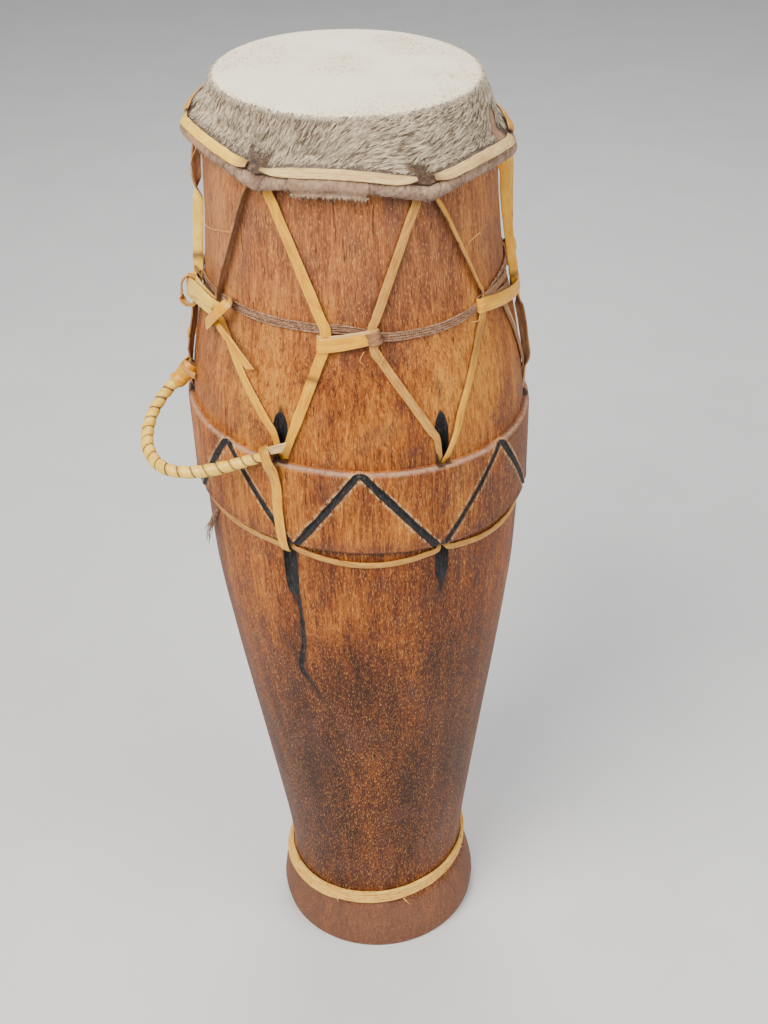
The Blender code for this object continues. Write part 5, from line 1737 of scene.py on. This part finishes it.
def makeHandle():
    line = smoothRoute([place(*stop) for stop in handle["route"]], 0.0010)
    # the loop's corners are eased the same way as a bent cane
    for _ in range(6):
        line[1:-1] = (line[:-2] + 2 * line[1:-1] + line[2:]) / 4
    total = lengthAlong(line)[-1]
    outside = ([handle["outside"]] * 8
               + [handle["outside"] * 0.97, handle["outside"] * 0.88, handle["end"]])
    wrap = windOn("handleWrap", line, outside, handle["wrap"], handle["pitch"], handle["thick"],
                  "yellow",
                  0.0150, total - 0.0005, 181)
    core = tubes("handleCore", [line[::2]], handle["core"], 4,
                 [np.interp(np.linspace(0, 1, len(line[::2])), (0, 0.86, 1), (1, 1, 0.66))])
    core.materials.append(finishes["brown"])
    uv = core.uv_layers.new(name="UVMap")
    at = points(core)
    loops = np.empty(len(core.loops), np.int32)
    core.loops.foreach_get("vertex_index", loops)
    uv.data.foreach_set("uv", np.c_[at[loops, 0] * 2, at[loops, 2]].astype(np.float32).ravel())
    addPiece("handleLoop", merged(wrap, core), (), ("handle",), 50)

    knot = [windOn("knotWind", line, handle["knot"], handle["knotWidth"], handle["knotPitch"],
                   0.0010, "golden",
                   0.0, handle["knotEnd"], 182)]
    a, z, lift = handle["crossing"]
    stops = [onWall(a + aside, z - 0.0006 * aside, up) for aside, up in
             ((-5.0, 0.0012), (-3.6, lift * 0.7), (0, lift + 0.0036), (3.6, lift * 0.7),
              (5.0, 0.0012))]
    knot.append(rattanStrip("knotOver", np.array(stops), 0.0050, 0.0010, "tawny", seed=184,
                            step=0.0008, across=6, crown=0.2, ridges=0.00006))
    addPiece("handleKnot", merged(*knot), (), ("handle_knot",), 50)

    route = np.array([place(*stop) for stop in handle["tie"]])
    ending = place(*handle["route"][-1])
    axis = unit(ending - place(*handle["route"][-2]))

    def tieFaces(line):
        away = line - ending
        away = away - (away @ axis)[:, None] * axis
        size = np.linalg.norm(away, axis=1)[:, None]
        close = np.exp(-(size / 0.0125)**4)
        return unit(away / size * close + outward(line) * (1 - close))

    tie = rattanStrip("tie", route, 0.0072, 0.0012, "golden", faces=tieFaces, seed=191, across=8,
                      step=0.0010,
                      marks=((0.010, 0.008, 0.5),),
                      widths=((0, 0.95), (0.4, 1.0), (0.85, 0.95), (1, 0.8)))
    stub = rattanStrip("stub", [place(*stop) for stop in handle["stub"]], 0.0056, 0.0010, "pale",
                       seed=192,
                       across=6, step=0.0008, widths=((0, 0.7), (0.4, 0.95), (1, 1.0)), slant=0.8)
    addPiece("handleTie", merged(tie, stub), (), ("handle_tie",))
    print("handle wound")


makeHandle()


raffia = {"strands": 30, "points": 260, "lean": 0.072, "radius": 0.0715, "height": 0.0525,
          "half": 0.0047,
          "lift": (0.0008, 0.0026), "thick": (0.00045, 0.00085),
          # loose ends: angle, height, then how far round, out and up they go
          "ends": ((62, 0.060, 7, 0.0040, 0.004), (66, 0.0585, 5, 0.0030, -0.004),
                   (15, 0.0475, 3, 0.0030, -0.004),
                   (-64, 0.0470, -4, 0.003, 0.003), (-30, 0.0485, 4, 0.0026, -0.0035),
                   (128, 0.058, 8, 0.005, 0.006),
                   (205, 0.049, -7, 0.004, -0.006))}


def makeRaffia():
    draw = np.random.default_rng(201)
    angle = np.linspace(-180, 180, raffia["points"], endpoint=False)
    middle = raffia["height"] + raffia["lean"] * raffia["radius"] * sine(angle)
    routes, shares = [], []
    for number in range(raffia["strands"]):
        offset = raffia["half"] * (2 * (number + draw.uniform(0, 1)) / raffia["strands"] - 1)
        wander = 0.0016 * ripple(angle, angle * 0, 5, 210 + number)
        height = middle + np.clip(offset + wander, -raffia["half"], raffia["half"])
        lift = (draw.uniform(*raffia["lift"]) + 0.0004
                * ripple(angle * 2, angle * 0, 5, 250 + number))
        routes.append(onWall(angle, height, np.clip(lift, 0.0006, 0.0029)))
        thick = draw.uniform(*raffia["thick"])
        shares.append(thick * (1 + 0.25 * ripple(angle * 3, angle * 0, 5, 290 + number))
                      / raffia["thick"][1])
    mesh = tubes("raffiaBand", routes, raffia["thick"][1], 1, shares, cyclic=True)
    ends, thins = [], []
    for a, z, swing, reach, fall in raffia["ends"]:
        share = np.linspace(0, 1, 10)
        ends.append(onWall(a + swing * share, z + fall * share, 0.0016 + reach * share**1.5))
        thins.append(1 - 0.85 * share**2)
    fray = tubes("raffiaEnds", ends, 0.0005, 1, thins)
    addPiece("raffiaBand", merged(mesh, fray), ("raffia",), ("raffia_band",), 0)
    print("raffia tied")


makeRaffia()


# Loose fibres that have sprung from the lacing: angle, height, lift
strayThreads = [[(-84, 0.6330, 0.004), (-79, 0.6220, 0.003), (-73.6, 0.6170, 0.0022),
                 (-66, 0.6185, 0.0022),
                 (-59.3, 0.6215, 0.0022), (-52, 0.6245, 0.0026), (-46.6, 0.6273, 0.0036)],
                [(-86, 0.5470, 0.006), (-88, 0.5420, 0.010), (-86.5, 0.5370, 0.011),
                 (-84, 0.5355, 0.008)],
                [(-83, 0.6600, 0.004), (-84, 0.6450, 0.008), (-80, 0.6300, 0.0035),
                 (-76, 0.6255, 0.0022)],
                [(-88, 0.5860, 0.010), (-91, 0.5895, 0.013), (-94, 0.5880, 0.015)],
                [(6.4, 0.5660, 0.003), (8, 0.5610, 0.005), (7, 0.5565, 0.005)],
                [(2, 0.5640, 0.003), (0.5, 0.5600, 0.005), (1.5, 0.5570, 0.005)],
                [(49, 0.5700, 0.003), (46, 0.5665, 0.005), (43, 0.5670, 0.004)],
                [(52.5, 0.6180, 0.003), (48.5, 0.6190, 0.005), (45, 0.6165, 0.004)]]
# The frayed end under the collar at the left: where it starts, and how many fibres it has
frayedEnd = {"start": (-63.2, 0.4205), "fibres": 11, "round": 12.5}


def makeThreads():
    draw = np.random.default_rng(221)
    routes = [smoothRoute([onWall(*stop) for stop in stops], 0.0008) for stops in strayThreads]
    tail = []
    startAngle, startHeight = frayedEnd["start"]
    for number in range(frayedEnd["fibres"]):
        share = np.linspace(0, 1, 14)
        swing, fall = draw.uniform(-2.0, 2.5), draw.uniform(0.033, 0.044)
        tail.append(onWall(startAngle - frayedEnd["round"] * share**0.8 + swing * share**1.6,
                           startHeight - fall * share,
                           0.0004 + 0.0060 * share + 0.0010 * np.sin(share * 6 + number)))
    loose = tubes("looseThreads", routes, 0.00020, 1,
                  [1 - 0.5 * np.linspace(0, 1, len(r))**3 for r in routes])
    frayed = tubes("frayedEnd", tail, 0.00042, 1,
                   [np.interp(np.linspace(0, 1, 14), (0, 0.3, 1), (1.3, 1, 0.3))] * len(tail))
    addPiece("looseThreads", loose, ("raffia",), sharp=0)
    addPiece("frayedEnd", frayed, ("twine",), sharp=0)
    print("threads added")


makeThreads()


view = {"place": (0.0134, -0.8834, 0.9879), "down": 34.616, "aside": 0.911, "roll": -1.786,
        "lens": 52.42}


def makeCamera():
    down, aside, roll = (math.radians(view[key]) for key in ("down", "aside", "roll"))
    ahead = Vector((math.sin(aside) * math.cos(down), math.cos(aside) * math.cos(down),
                    -math.sin(down)))
    level = Vector((math.cos(aside), -math.sin(aside), 0))
    upright = level.cross(ahead)
    right = level * math.cos(roll) + upright * math.sin(roll)
    up = upright * math.cos(roll) - level * math.sin(roll)
    camera = bpy.data.cameras.new("camera")
    camera.sensor_width, camera.lens = 36, view["lens"]
    thing = bpy.data.objects.new("camera", camera)
    bpy.context.scene.collection.objects.link(thing)
    turn = Matrix((right, up, -ahead)).transposed().to_4x4()
    turn.translation = Vector(view["place"])
    thing.matrix_world = turn
    bpy.context.scene.camera = thing


makeCamera()

studio = {
    "floor": (0.74, 0.75, 0.77), "world": (0.88, 0.87, 0.86), "worldStrength": 0.48,
    # place, aim height, size, power, colour
    "lights": (((-0.75, -0.95, 1.75), 0.55, 1.2, 52, (1.0, 0.955, 0.87)),
               ((1.3, -0.9, 1.5), 0.45, 1.2, 20, (1.0, 0.98, 0.94)),
               ((0.1, 1.3, 1.9), 0.5, 1.2, 20, (1.0, 0.98, 0.95))),
}


def makeStudio():
    bm = bmesh.new()
    bmesh.ops.create_circle(bm, cap_ends=True, segments=96, radius=6)
    floor = looseObject(meshFrom(bm, "floor"))
    material, tree, shader = newMaterial("floorFinish", Roughness=0.75)
    grain = spots(tree, objectCoords(tree), (9, 9, 9), 4)
    low, high = (tuple(c * k for c in studio["floor"]) for k in (0.97, 1.02))
    wear(tree, shader, ramp(tree, grain, ((0.3, low), (0.7, high))))
    floor.data.materials.append(material)
    world = bpy.data.worlds.new("studio")
    bpy.context.scene.world = world
    world.use_nodes = True
    backing = world.node_tree.nodes["Background"].inputs
    backing[0].default_value, backing[1].default_value = (*studio["world"],
            1), studio["worldStrength"]
    for number, (where, aim, size, power, colour) in enumerate(studio["lights"]):
        lamp = bpy.data.lights.new(f"softbox{number}", "AREA")
        lamp.shape, lamp.size, lamp.energy, lamp.color = "DISK", size, power, colour
        thing = bpy.data.objects.new(lamp.name, lamp)
        thing.location = where
        away = Vector(where) - Vector((0, 0, aim))
        thing.rotation_euler = away.to_track_quat("Z", "Y").to_euler()
        bpy.context.scene.collection.objects.link(thing)


makeStudio()
